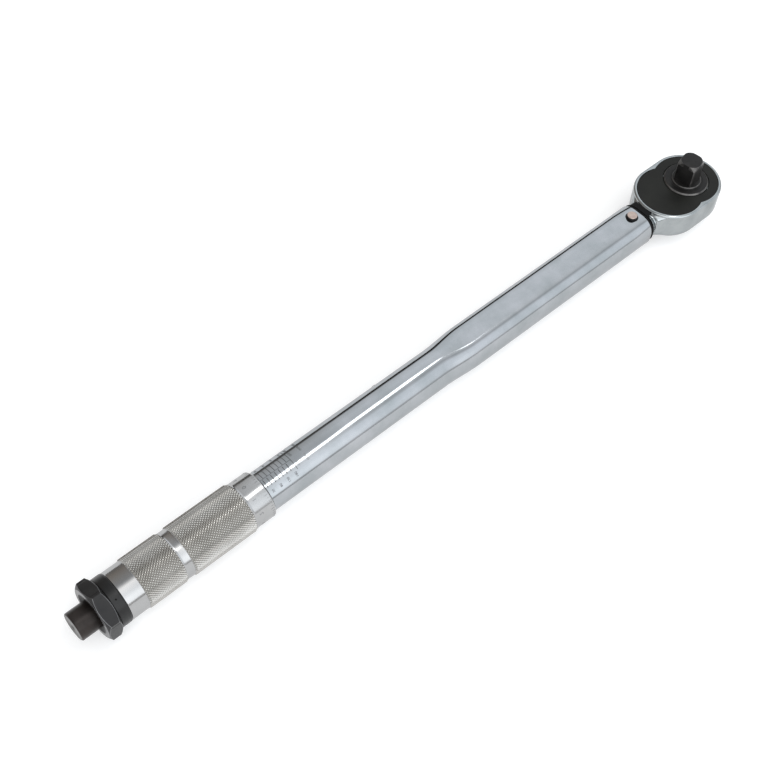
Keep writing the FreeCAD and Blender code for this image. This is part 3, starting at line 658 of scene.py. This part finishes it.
def make_grip():
    """The grip: a plain front, two knurled bands and the plain bands beside them."""
    (first_front, first_back), (second_front, second_back) = KNURLS
    mouth = [(GRIP_FRONT, GRIP_BORE), (GRIP_FRONT, GRIP_MOUTH_R), (GRIP_FRONT - 1.0, THIMBLE_R)]
    back = [(GRIP_BACK + 0.4, BAND_R), (GRIP_BACK, BAND_R - 0.4), (GRIP_BACK, GRIP_HOLE),
            (GRIP_WALL, GRIP_HOLE), (GRIP_WALL, GRIP_BORE), (GRIP_FRONT, GRIP_BORE)]
    plain = [
        eased(mouth + lip(first_front, 1, THIMBLE_R, 1.0), 0.3),
        eased(lip(first_back, -1, BAND_R, LIP_RUN)[::-1]
              + lip(second_front, 1, BAND_R, LIP_RUN), 0.3),
        eased(lip(second_back, -1, BAND_R, LIP_RUN)[::-1] + back, 0.3),
    ]
    smooth_part = merged(*[lathe_x(p) for p in plain])
    rough_part = merged(*[knurl(a, b) for a, b in KNURLS])
    verts, faces = merged(smooth_part, rough_part)
    slots = [0] * len(smooth_part[1])
    # land faces take the lighter knurl finish as painted highlight, and groove faces take the
    # darker one as painted shade
    slots += [1 if max(f) - min(f) < 4 else 2 for f in rough_part[1]]
    grip = make_object("handle_grip_knurled", verts, faces,
                       [MAT["grip"], MAT["knurl"], MAT["groove"]], "handle", "handle_grip", slots,
                       sharp=20)


# ---- collar, nut and tail

def make_collar():
    """The black ring between grip and nut, with one small notch."""
    r, edge = COLLAR_R, 0.4
    profile = eased([(GRIP_BACK, COLLAR_BORE), (GRIP_BACK, r - edge), (GRIP_BACK - edge, r),
                     (NUT_FRONT + edge, r), (NUT_FRONT, r - edge), (NUT_FRONT, COLLAR_BORE),
                     (GRIP_BACK, COLLAR_BORE)], 0.25)
    verts, faces = lathe_x(profile)
    collar = make_object("lock_collar_ring", verts, faces, MAT["plastic"], "collar", "lock_collar")
    notch_verts, notch_faces = lathe_z([(-3, 0), (-3, 1.0), (3, 1.0), (3, 0)], n=4)
    turn, reach = radians(NOTCH_TURN), r + 0.1
    long, wide, deep = NOTCH_SIZE
    cutter = [(NOTCH_X + x * long, -sin(turn) * reach + y * wide,
               cos(turn) * reach + z * deep) for x, y, z in notch_verts]
    cut_holes(collar, [(cutter, notch_faces)])


def make_nut():
    """Hexagon whose corners are turned off at both faces, with worn edges."""
    corner = NUT_FLATS / 2 / cos(radians(30))
    slope = (corner + NUT_CORNER_SPARE - NUT_FACE_R) / NUT_CHAMFER
    n = 360
    reach, turn = [], []
    for i in range(n):
        a = 360.0 * i / n
        off = (a % 60.0) - 30.0
        reach.append(NUT_FLATS / 2 / cos(radians(off)))
        turn.append(radians(90 + NUT_CORNER + a))

    def ring(x, radii):
        return [(at, r * cos(a), r * sin(a)) for at, r, a in zip(x, radii, turn)]

    def flat(x, r):
        return ring([x] * n, [r] * n)

    def chamfer_x(face, inward, extra):
        return [face + inward * (max(0.0, r - NUT_FACE_R) / slope + extra) for r in reach]

    rubbed = [r - 0.10 if r > NUT_FACE_R + 1.6 else r for r in reach]
    broken = [r - NUT_BREAK for r in rubbed]
    rings = [
        flat(NUT_FRONT, NUT_BORE), flat(NUT_FRONT, NUT_FACE_R - 0.2),
        flat(NUT_FRONT - 0.1, NUT_FACE_R),
        ring(chamfer_x(NUT_FRONT, -1, 0.05), broken), ring(chamfer_x(NUT_FRONT, -1, 0.30), rubbed),
        ring(chamfer_x(NUT_BACK, 1, 0.30), rubbed), ring(chamfer_x(NUT_BACK, 1, 0.05), broken),
        flat(NUT_BACK + 0.1, NUT_FACE_R), flat(NUT_BACK, NUT_FACE_R - 0.2),
        flat(NUT_BACK, NUT_DISH_R), flat(NUT_BACK + 0.15, NUT_DISH_R - 0.2),
        flat(NUT_BACK + NUT_DISH_DEPTH - 0.3, NUT_BORE + 0.6),
        flat(NUT_BACK + NUT_DISH_DEPTH, NUT_BORE), flat(NUT_FRONT, NUT_BORE),
    ]
    verts, faces = stack(rings)
    worn = {3, 5, 7, 8}        # the bands of faces that are rubbed bright
    slots = [1 if i // n in worn else 0 for i in range(len(faces))]
    nut = make_object("lock_nut_hex", verts, faces, [MAT["oxide"], MAT["worn"]], "nut", "lock_nut",
                      slots, sharp=22)


def make_screw():
    """The threaded rod, its driving flange and the tail that shows behind the nut."""
    lo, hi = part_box("adjusting_screw")
    tip, around = hi[0] / MM, 128
    profile = [(tip, 0), (tip, ROOT_R)]
    x = tip - 1.0
    while x - PITCH > FLANGE_FRONT:
        profile += [(x + ROOT_HALF, ROOT_R), (x + CREST_HALF, CREST_R),
                    (x - CREST_HALF, CREST_R), (x - ROOT_HALF, ROOT_R)]
        x -= PITCH
    profile += [(FLANGE_FRONT, ROOT_R), (FLANGE_FRONT, FLANGE_R), (GRIP_WALL, FLANGE_R),
                (GRIP_WALL, TAIL_R - TAIL_GAP), (GRIP_WALL - 5.0, TAIL_R - TAIL_GAP),
                (TAIL_BACK + 1.1, TAIL_R - 0.02)]
    profile += eased([(TAIL_BACK + 1.0, TAIL_R), (TAIL_BACK + 0.6, TAIL_R),
                      (TAIL_BACK, TAIL_R - 0.6), (TAIL_BACK, TAIL_R - 1.2)], 0.3)
    face_start = len(profile)
    profile += [(TAIL_BACK + 0.12, TAIL_R - 1.6), (TAIL_BACK + 0.12, 2.0), (TAIL_BACK + 0.7, 0.9),
                (TAIL_BACK + 0.9, 0)]
    verts, faces = lathe_x(profile, around)
    slots = [1 if i // around >= face_start - 3 else 0 for i in range(len(faces))]
    screw = make_object("adjusting_screw_tail", verts, faces, [MAT["blued"], MAT["rim"]], "handle",
                        "adjusting_screw", slots)


# ---- head

def head_ring(z, radius, lobed=False, n=360):
    """The head's outline at z: an oval round both lobes, or the two lobes themselves."""
    ring = []
    for i in range(n):
        a = 2 * pi * i / n
        c, s = cos(a), sin(a)
        reach = LOBE * abs(c) + sqrt(max(0.0, radius ** 2 - (LOBE * s) ** 2))
        if not lobed and abs(s) > 1e-9 and abs(radius / s * c) < LOBE:
            reach = radius / abs(s)
        ring.append((-LOBE + reach * c, reach * s, z))
    return ring


def arc(cx, cz, r, start, end, steps):
    """Points round a circle between two angles in degrees."""
    out = []
    for i in range(steps + 1):
        a = radians(start + (end - start) * i / steps)
        out.append((cx + r * cos(a), cz + r * sin(a)))
    return out


def flare_ring(step):
    """A section of the flare, which leaves the round lobe along its tangent."""
    t = step / FLARE_STEPS
    x = curve_at(FLARE_FRONT, FLARE_AIM, FLARE_BACK, t)
    half = curve_at(FLARE_HALF, NECK_HALF, NECK_HALF, t)
    tall = FLARE_TALL - (FLARE_TALL - NECK_TALL) * t
    groove = FLARE_GROOVE if step == FLARE_GROOVE_STEP else 0.0
    corner = FLARE_CORNER + (NECK_CORNER - FLARE_CORNER) * smooth(t)
    ring = rect_ring(x, 2 * (half - groove), tall - 2 * groove, corner)
    lift = FLARE_LIFT + (1 - FLARE_LIFT) * smooth(t)
    return [(px, py, pz * lift if pz < 0 else pz) for px, py, pz in ring]


def make_head():
    """The oval head with its pocket, the flare, the grooved neck and the long arm."""
    low, high = HEAD_LOW_ROUND, HEAD_TOP_ROUND
    side = [(LOBE, HEAD_BOTTOM)]
    side += arc(HEAD_R - low, HEAD_BOTTOM + low, low, -90, 0, 12)
    side += [(HEAD_R, 0.0), (HEAD_R, HEAD_TOP - 2.2)]
    side += arc(HEAD_R - high, HEAD_TOP - high, high, 0, 90, 8)
    pocket = PLATE_R + POCKET_GAP
    rings = [[(-LOBE, 0.0, HEAD_BOTTOM)]]
    rings += [head_ring(z, max(r, LOBE + 0.01)) for r, z in side]
    rings += [head_ring(HEAD_TOP, pocket + POCKET_BREAK, True),
              head_ring(HEAD_TOP - POCKET_BREAK, pocket, True),
              head_ring(POCKET_FLOOR, pocket, True), head_ring(POCKET_FLOOR, POCKET_BORE, True),
              [(-LOBE, 0.0, POCKET_FLOOR)]]
    neck = [flare_ring(step) for step in range(FLARE_STEPS + 1)]
    neck += [rect_ring(*row) for row in NECK + ARM]
    neck.append([(ARM_BACK, 0.0, 0.0)])
    verts, faces = merged(stack(rings), stack(neck))
    head = make_object("ratchet_head_forging", verts, faces, MAT["head"], "head", "ratchet_head")


def make_plate():
    """The two-lobed plate round the hub, its edges slightly broken."""
    n = 360
    hole = []
    for i in range(n):
        a = 2 * pi * i / n
        c, s = cos(a), sin(a)
        # the ray from the middle of the head to the hole round the drive
        reach = LOBE * c + sqrt(PLATE_HOLE ** 2 - (LOBE * s) ** 2)
        hole.append((-LOBE + reach * c, reach * s))

    def hole_ring(z, grow):
        k = (PLATE_HOLE + grow) / PLATE_HOLE
        return [(x * k, y * k, z) for x, y in hole]

    rings = [hole_ring(POCKET_FLOOR, 0.0), hole_ring(PLATE_TOP - PLATE_BREAK, 0.0),
             hole_ring(PLATE_TOP, PLATE_BREAK), head_ring(PLATE_TOP, PLATE_R - PLATE_BREAK, True),
             head_ring(PLATE_TOP - 0.2, PLATE_R, True), head_ring(POCKET_FLOOR, PLATE_R, True),
             hole_ring(POCKET_FLOOR, 0.0)]
    verts, faces = stack(rings)
    plate = make_object("cover_plate_black", verts, faces, MAT["plate"], "head", "cover_plate")


def make_seal():
    """The ribbed ring between neck and tube, with its pads over and under the neck."""
    rings = [rect_ring(x, SEAL_W + 2 * g, SEAL_H + 2 * g, SEAL_CORNER + g) for x, g in SEAL_RIBS]
    front, back = [rect_ring(x, SEAL_HOLE_W, SEAL_HOLE_H, SEAL_HOLE_CORNER)
                   for x in (SEAL_RIBS[0][0], SEAL_RIBS[-1][0])]
    parts = [stack([front] + rings + [back], closed=True)]
    bevel = 0.9
    for side in (1, -1):
        top, under = side * PAD_TOP, side * PAD_UNDER
        outline = [(PAD_FAR, -bevel), (PAD_FAR - 1.2, 0.0), (PAD_NEAR + bevel, 0.0),
                   (PAD_NEAR, -bevel)]
        pad = []
        for x, sink in ((PAD_BACK, 0.05), (SEAL_FRONT + 0.5, 0.05), (SEAL_FRONT, 0.5)):
            ring = [(x, y, top + side * (drop - sink)) for y, drop in outline]
            ring += [(x, PAD_NEAR, under), (x, PAD_FAR, under)]
            pad.append(ring)
        middle = ((PAD_NEAR + PAD_FAR) / 2, (under + top) / 2)
        parts.append(stack([[(PAD_BACK, *middle)]] + pad + [[(SEAL_FRONT, *middle)]]))
    verts, faces = merged(*parts)
    seal = make_object("neck_seal_rubber", verts, faces, MAT["rubber"], "head", "neck_seal")


# ---- drive

def square_ring(z, limit, n=240):
    """The square's section at z, its corners turned off at the given radius."""
    ring = []
    for i in range(n):
        a = 2 * pi * i / n
        reach = SQUARE / 2 / max(abs(cos(a)), abs(sin(a)))
        r = min(reach, limit)
        t = a + radians(TURN)
        ring.append((r * cos(t), r * sin(t), z))
    return ring


def tooth_ring(z, n=720):
    """The gear's section at z: a land of two degrees and a straight flank each side."""
    ring = []
    pitch = 360.0 / TEETH
    for i in range(n):
        a = 360.0 * i / n
        off = abs((a + pitch / 2) % pitch - pitch / 2)
        depth = min(1.0, max(0.0, (off - 1.0) / 2.8))
        r = TOOTH_TIP_R - (TOOTH_TIP_R - TOOTH_ROOT_R) * depth
        ring.append((r * cos(radians(a)), r * sin(radians(a)), z))
    return ring


def make_drive():
    """The gear, its journal, the hub and boss over it and the square. The hub's bevel and the
    boss's edge take a lighter finish as painted highlight, and the square's corners and lead-in
    take it as rubbed wear with painted highlight.
    """
    teeth = stack([[(0, 0, GEAR_BOTTOM)], tooth_ring(GEAR_BOTTOM), tooth_ring(GEAR_TOP),
                   [(0, 0, GEAR_TOP)]])
    journal = lathe_z(eased([(JOURNAL_BOTTOM, 0), (JOURNAL_BOTTOM, JOURNAL_R - 0.35),
                             (JOURNAL_BOTTOM + 0.3, JOURNAL_R),
                             (GEAR_BOTTOM + 0.1, JOURNAL_R)], 0.2))
    recess = HUB_TOP - 0.15
    hub = lathe_z(eased([(GEAR_TOP - 0.1, HUB_R), (HUB_TOP - HUB_BEVEL, HUB_R),
                         (HUB_TOP, HUB_R - 0.85), (HUB_TOP, 10.6), (recess, 10.3), (recess, 9.5),
                         (HUB_TOP + 0.1, BOSS_R), (SHOULDER - 0.4, BOSS_R),
                         (SHOULDER, BOSS_R - 0.4), (SHOULDER, 0)], 0.14))
    limits = [(SHOULDER - 0.1, CORNER_R + 0.3), (SHOULDER + 0.5, CORNER_R), (18.0, CORNER_R),
              (LEAD_IN_Z, CORNER_R)]
    rise, drop = TIP_Z - 0.15 - LEAD_IN_Z, CORNER_R - TIP_R - 0.1
    for i in range(1, LEAD_IN_STEPS + 1):
        t = i / LEAD_IN_STEPS
        limits.append((LEAD_IN_Z + rise * t, CORNER_R - drop * t))
    limits += [(TIP_Z - 0.05, TIP_R - 0.05), (TIP_Z, TIP_R - 0.25)]
    square = stack([square_ring(z, r) for z, r in limits] + [[(0, 0, TIP_Z)]])
    verts, faces = merged(teeth, journal, hub, square)
    slots = []
    for face in faces:
        x, y, z = (sum(verts[i][k] for i in face) / len(face) for k in range(3))
        r = hypot(x, y)
        # the hub's bevel and the boss's edge take the lighter rim finish as painted highlight; the
        # square's lead-in and corners take it as rubbed wear with painted highlight
        bevel = HUB_TOP - 0.75 < z < HUB_TOP - 0.02 and HUB_R - 0.9 < r < HUB_R + 0.1
        boss = SHOULDER - 0.6 < z < SHOULDER + 0.02 and BOSS_R - 0.45 < r < BOSS_R + 0.05
        lead_in = TIP_Z - 2.7 < z < TIP_Z - 0.02 and r > SQUARE / 2 + 0.25
        corner = SHOULDER + 0.3 < z < TIP_Z - 2.7 and r > CORNER_R - 0.04
        slots.append(1 if lead_in or bevel or boss or corner else 0)
    drive = make_object("drive_gear_square", verts, faces, [MAT["drive"], MAT["rim"]], "drive",
                        "drive_gear", slots, sharp=18)


def make_ball():
    """The detent ball, where the CAD ball is."""
    lo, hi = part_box("detent_ball")
    cx, cy = (lo[0] + hi[0]) / 2 / MM, (lo[1] + hi[1]) / 2 / MM
    cz = ((lo[2] + hi[2]) / 2 - AXIS_Z) / MM
    r = (hi[2] - lo[2]) / 2 / MM
    steps, rings = 24, []
    for i in range(steps + 1):
        a = pi * i / steps
        rings.append(circle_z(cz - r * cos(a), r * sin(a), cx, cy, 48))
    verts, faces = stack(rings)
    ball = make_object("detent_ball_steel", verts, faces, MAT["bearing"], "detent", "detent_ball")


# ---- springs

def coil(start, direction, length, mean_r, wire_r, turns, sides=10):
    """A compression spring from start along direction, its wire capped at both ends."""
    axis = Vector(direction).normalized()
    side = axis.orthogonal().normalized()
    other = axis.cross(side)
    steps = int(turns * 28)
    rings = []
    for k in range(steps + 1):
        t = k / steps
        a = 2 * pi * turns * t
        out = side * cos(a) + other * sin(a)
        centre = Vector(start) + axis * (wire_r + (length - 2 * wire_r) * t) + out * mean_r
        ring = []
        for i in range(sides):
            b = 2 * pi * i / sides
            ring.append(tuple(centre + (out * cos(b) + axis * sin(b)) * wire_r))
        rings.append(ring)
    return stack([tip_of(rings[0])] + rings + [tip_of(rings[-1])])


def make_springs():
    """The torque spring and the two small ones, each with a mesh of its own."""
    verts, faces = coil((-352.0, 0, 0), (1, 0, 0), 90.0, 8.1, 1.9, 13, 16)
    main = make_object("main_spring_coil", verts, faces, MAT["spring"], "tube", "main_spring")
    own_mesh(main)
    # the ball's spring, in a blind hole square to the drive's face
    turn, hole = radians(TURN + 90.0), SQUARE / 2 - 8.6
    out = (cos(turn), sin(turn), 0)
    start, length = (hole * out[0], hole * out[1], 20.4), 5.8
    small = make_object("detent_spring_coil", *coil(start, out, length, 1.2, 0.25, 5),
                        MAT["spring"], "drive", "detent_spring")
    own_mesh(small)
    # the pawl plunger's spring, in the lever's stem
    turn = radians(LEVER_REST)
    out = (cos(turn), sin(turn), 0)
    start, length = (LEVER_X - 2.6 * out[0], -2.6 * out[1], 0), 4.4
    small = make_object("plunger_spring_coil", *coil(start, out, length, 1.0, 0.22, 5),
                        MAT["spring"], "lever", "plunger_spring")
    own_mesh(small)


# ---- lever

def make_lever():
    """The reversing lever under the head: stem, flat plate and ribbed thumb tab."""
    rest = radians(LEVER_REST)

    def place(x, y, z):
        """A point of the lever, x out along the tab and y across it, turned to its rest."""
        return (LEVER_X + x * cos(rest) - y * sin(rest),
                x * sin(rest) + y * cos(rest), z)

    def outline(z, grow, n=180):
        """A disc round the stem that narrows to a rounded tab."""
        ring = []
        r0, r1 = LEVER_DISC_R + grow, LEVER_TAB_R + grow
        lean = asin((r0 - r1) / LEVER_REACH)
        for i in range(n):
            a = 2 * pi * i / n - pi
            if abs(a) < pi / 2 - lean:
                ring.append(place(LEVER_REACH + r1 * cos(a), r1 * sin(a), z))
            else:
                ring.append(place(r0 * cos(a), r0 * sin(a), z))
        return ring

    plate = stack([[place(LEVER_MIDDLE, 0, LEVER_TOP)], outline(LEVER_TOP, -0.5),
                   outline(LEVER_TOP - 0.3, 0.0), outline(LEVER_BOTTOM + 0.5, 0.0),
                   outline(LEVER_BOTTOM, -0.6), [place(LEVER_MIDDLE, 0, LEVER_BOTTOM)]])
    foot = LEVER_TOP - 0.4
    stem = lathe_z(eased([(foot, 0), (foot, STEM_R), (CLIP_BOTTOM, STEM_R), (CLIP_BOTTOM, CLIP_R),
                          (CLIP_TOP, CLIP_R), (CLIP_TOP, STEM_R), (STEM_TOP, STEM_R),
                          (STEM_TOP, 0)], 0.1), LEVER_X, n=64)
    ribs = []
    for k in range(RIBS):
        x0 = RIB_START + RIB_STEP * k
        half = RIB_HALF - 0.35 * k
        edge = RIB_DROP + 0.3 * (RIBS - 1 - k)
        profile = [(x0 - 0.1, RIB_FOOT), (x0 + 0.15, edge + 0.2), (x0 + 0.85, edge),
                   (x0 + 1.2, RIB_FOOT)]
        rings = []
        for side, inset in ((-1, 0.35), (-1, 0.0), (1, 0.0), (1, 0.35)):
            across = side * (half - inset * 0.5)
            pull = 1 - inset * 0.2
            rings.append([place(x, across, RIB_FOOT + (z - RIB_FOOT) * pull) for x, z in profile])
        ribs.append(stack([tip_of(rings[0])] + rings + [tip_of(rings[-1])]))
    verts, faces = merged(plate, stem, *ribs)
    lever = make_object("reverse_lever_black", verts, faces, MAT["oxide"], "lever", "reverse_lever")


# ---- hidden pieces

def dress_hidden():
    """The inner pieces keep their CAD shapes and take a finish."""
    finish = {
        "thread_bush": "steel", "pawl_pin": "steel", "pawl": "steel", "pawl_plunger": "steel",
        "tilt_block": "steel", "thrust_slider": "steel", "spring_seat": "steel",
        "bearing_race": "steel", "handle_dowel": "steel", "bearing_balls": "bearing",
        "lever_clip": "spring",
    }
    for obj in bpy.data.objects:
        node = obj.get("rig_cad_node")
        if node in finish:
            obj.data.materials.clear()
            obj.data.materials.append(MAT[finish[node]])


# ---- stage

# What the chrome reflects, by the angle round the wrench from straight up towards the
# near side, in degrees: (angle, brightness, warmth).
# SKY_AHEAD is the sky towards the head, SKY_BEHIND the one towards the handle, and both
# give way to END_WALL beyond the wrench's two ends.
HORIZON, SKY_SCALE, END_WALL = 0.05, 4.0, 0.7
SKY_AHEAD = [(-90, HORIZON, 0), (-75, HORIZON, 0), (-70, 1.02, -0.03), (-35, 1.22, -0.04),
             (0, 1.12, -0.03), (12, 0.95, -0.03), (17, 0.72, -0.03), (22, 0.85, -0.04),
             (34, 1.30, -0.05), (60, 1.36, -0.05), (76, 1.30, -0.04), (83, 0.85, -0.03),
             (90, 0.80, 0)]
SKY_BEHIND = [(-90, 0.32, 0), (-82, 0.24, 0.06), (-60, 0.32, 0.10), (-40, 0.38, 0.05),
              (-8, 0.45, -0.02), (0, 0.70, -0.02), (12, 1.95, 0), (40, 1.80, -0.03),
              (60, 2.30, -0.03), (78, 2.20, -0.03), (83, 0.65, 0), (90, 0.65, 0)]
STRIP_SIZE, STRIP_PLACE, STRIP_TURN, STRIP_LEVEL = (0.78, 0.25), (0.27, -0.20, 1.5), 45.0, 4.0
FLOOR_HALF, FLOOR_GAP, FLOOR_GLOW = 6.0, 0.0002, 0.46        # metres, metres, strength

# The camera stands above the handle's near side. Angles in degrees, lens and sensor in mm.
CAMERA_YAW, CAMERA_PITCH, CAMERA_ROLL = 44.57, 54.44, 4.06
CAMERA_LENS, CAMERA_SENSOR, CAMERA_PLACE = 61.46, 36.0, (-565.8, -305.0, 618.7)


def sky_ramp(tree, angle, stops):
    """The colour at an angle round the wrench, from a list of stops."""
    ramp = add_node(tree, "ValToRGB", None, {"Fac": angle})
    parts = ramp.color_ramp.elements
    while len(parts) > 1:
        parts.remove(parts[-1])
    for k, (degrees, level, warmth) in enumerate(stops):
        place = degrees / 360 + 0.5
        part = parts[0] if k == 0 else parts.new(place)
        part.position = place
        level /= SKY_SCALE
        part.color = (level * (1 + warmth), level, level * (1 - warmth), 1)
    return ramp.outputs["Color"]


def ranged(tree, value, low, high):
    """Eases from 0 to 1 as a value goes from low to high."""
    limits = {"From Min": low, "From Max": high}
    return add_node(tree, "MapRange", limits, {"Value": value},
                    interpolation_type="SMOOTHSTEP").outputs["Result"]


def make_world():
    """A studio of long soft walls running the way the wrench does."""
    world = bpy.context.scene.world or bpy.data.worlds.new("studio")
    bpy.context.scene.world = world
    world.use_nodes = True
    tree = world.node_tree
    coord = add_node(tree, "TexCoord")
    parts = add_node(tree, "SeparateXYZ", None, {"Vector": coord.outputs["Generated"]})
    away = add_node(tree, "Math", {1: -1.0}, {0: parts.outputs["Y"]}, operation="MULTIPLY")
    turn = add_node(tree, "Math", None, {0: away.outputs[0], 1: parts.outputs["Z"]},
                    operation="ARCTAN2")
    limits = {"From Min": -pi, "From Max": pi}
    place = add_node(tree, "MapRange", limits, {"Value": turn.outputs[0]})
    angle = place.outputs["Result"]
    along = parts.outputs["X"]
    walls = mixed(tree, ranged(tree, along, 0.18, 0.46), sky_ramp(tree, angle, SKY_BEHIND),
                  sky_ramp(tree, angle, SKY_AHEAD))
    grey = END_WALL / SKY_SCALE
    walls = mixed(tree, ranged(tree, along, 0.86, 0.97), walls, (grey, grey, grey))
    walls = mixed(tree, ranged(tree, along, -0.70, -0.90), walls, (grey, grey, grey))
    background = tree.nodes["Background"]
    tree.links.new(walls, background.inputs[0])
    background.inputs[1].default_value = SKY_SCALE


def strip_light():
    """A narrow softbox overhead, lying slantwise to the wrench."""
    light = bpy.data.lights.new("overhead_strip", "AREA")
    light.shape, light.size, light.size_y = "RECTANGLE", *STRIP_SIZE
    light.energy = STRIP_LEVEL * pi * light.size * light.size_y
    obj = bpy.data.objects.new("overhead_strip", light)
    obj.location = STRIP_PLACE
    obj.rotation_euler = (0, 0, radians(STRIP_TURN))
    bpy.context.scene.collection.objects.link(obj)


def make_stage():
    """A pale light table under the wrench."""
    floor_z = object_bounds()[0][2] - FLOOR_GAP
    half = FLOOR_HALF
    mesh = bpy.data.meshes.new("floor")
    mesh.from_pydata([(-half, -half, floor_z), (half, -half, floor_z), (half, half, floor_z),
                      (-half, half, floor_z)], [], [[0, 1, 2, 3]])
    mat, tree, shader = nodes_of("floor_white")
    for key, value in (("Roughness", 0.9), ("Specular IOR Level", 0.1),
                       ("Emission Color", (1, 1, 1, 1)), ("Emission Strength", FLOOR_GLOW)):
        shader.inputs[key].default_value = value
    tint = mixed(tree, noise(tree, 3.0, 2.0), (0.62, 0.62, 0.62), (0.65, 0.65, 0.65))
    tree.links.new(tint, shader.inputs["Base Color"])
    mesh.materials.append(mat)
    floor = bpy.data.objects.new("floor", mesh)
    bpy.context.scene.collection.objects.link(floor)
    strip_light()
    bpy.context.scene.view_settings.view_transform = "Standard"


def make_camera():
    """The camera, aimed by yaw and pitch and then rolled about its own line of sight."""
    yaw, pitch, roll = [radians(a) for a in (CAMERA_YAW, CAMERA_PITCH, CAMERA_ROLL)]
    forward = Vector((cos(yaw) * cos(pitch), sin(yaw) * cos(pitch),
                      -sin(pitch)))
    right = Vector((sin(yaw), -cos(yaw), 0))
    up = right.cross(forward)
    right_rolled = right * cos(roll) + up * sin(roll)
    up_rolled = up * cos(roll) - right * sin(roll)
    data = bpy.data.cameras.new("camera")
    data.lens, data.sensor_width = CAMERA_LENS, CAMERA_SENSOR
    data.clip_start, data.clip_end = 0.01, 50
    cam = bpy.data.objects.new("camera", data)
    turn = Matrix((right_rolled, up_rolled, -forward)).transposed()
    cam.matrix_world = Matrix.Translation(to_row(*CAMERA_PLACE)) @ turn.to_4x4()
    bpy.context.scene.collection.objects.link(cam)
    bpy.context.scene.camera = cam


make_tube()
make_pin()
make_key()
make_scale()
make_grip()
make_thimble_marks()
make_collar()
make_nut()
make_screw()
make_head()
make_plate()
make_seal()
make_drive()
make_ball()
make_springs()
make_lever()
dress_hidden()
make_world()
make_stage()
make_camera()
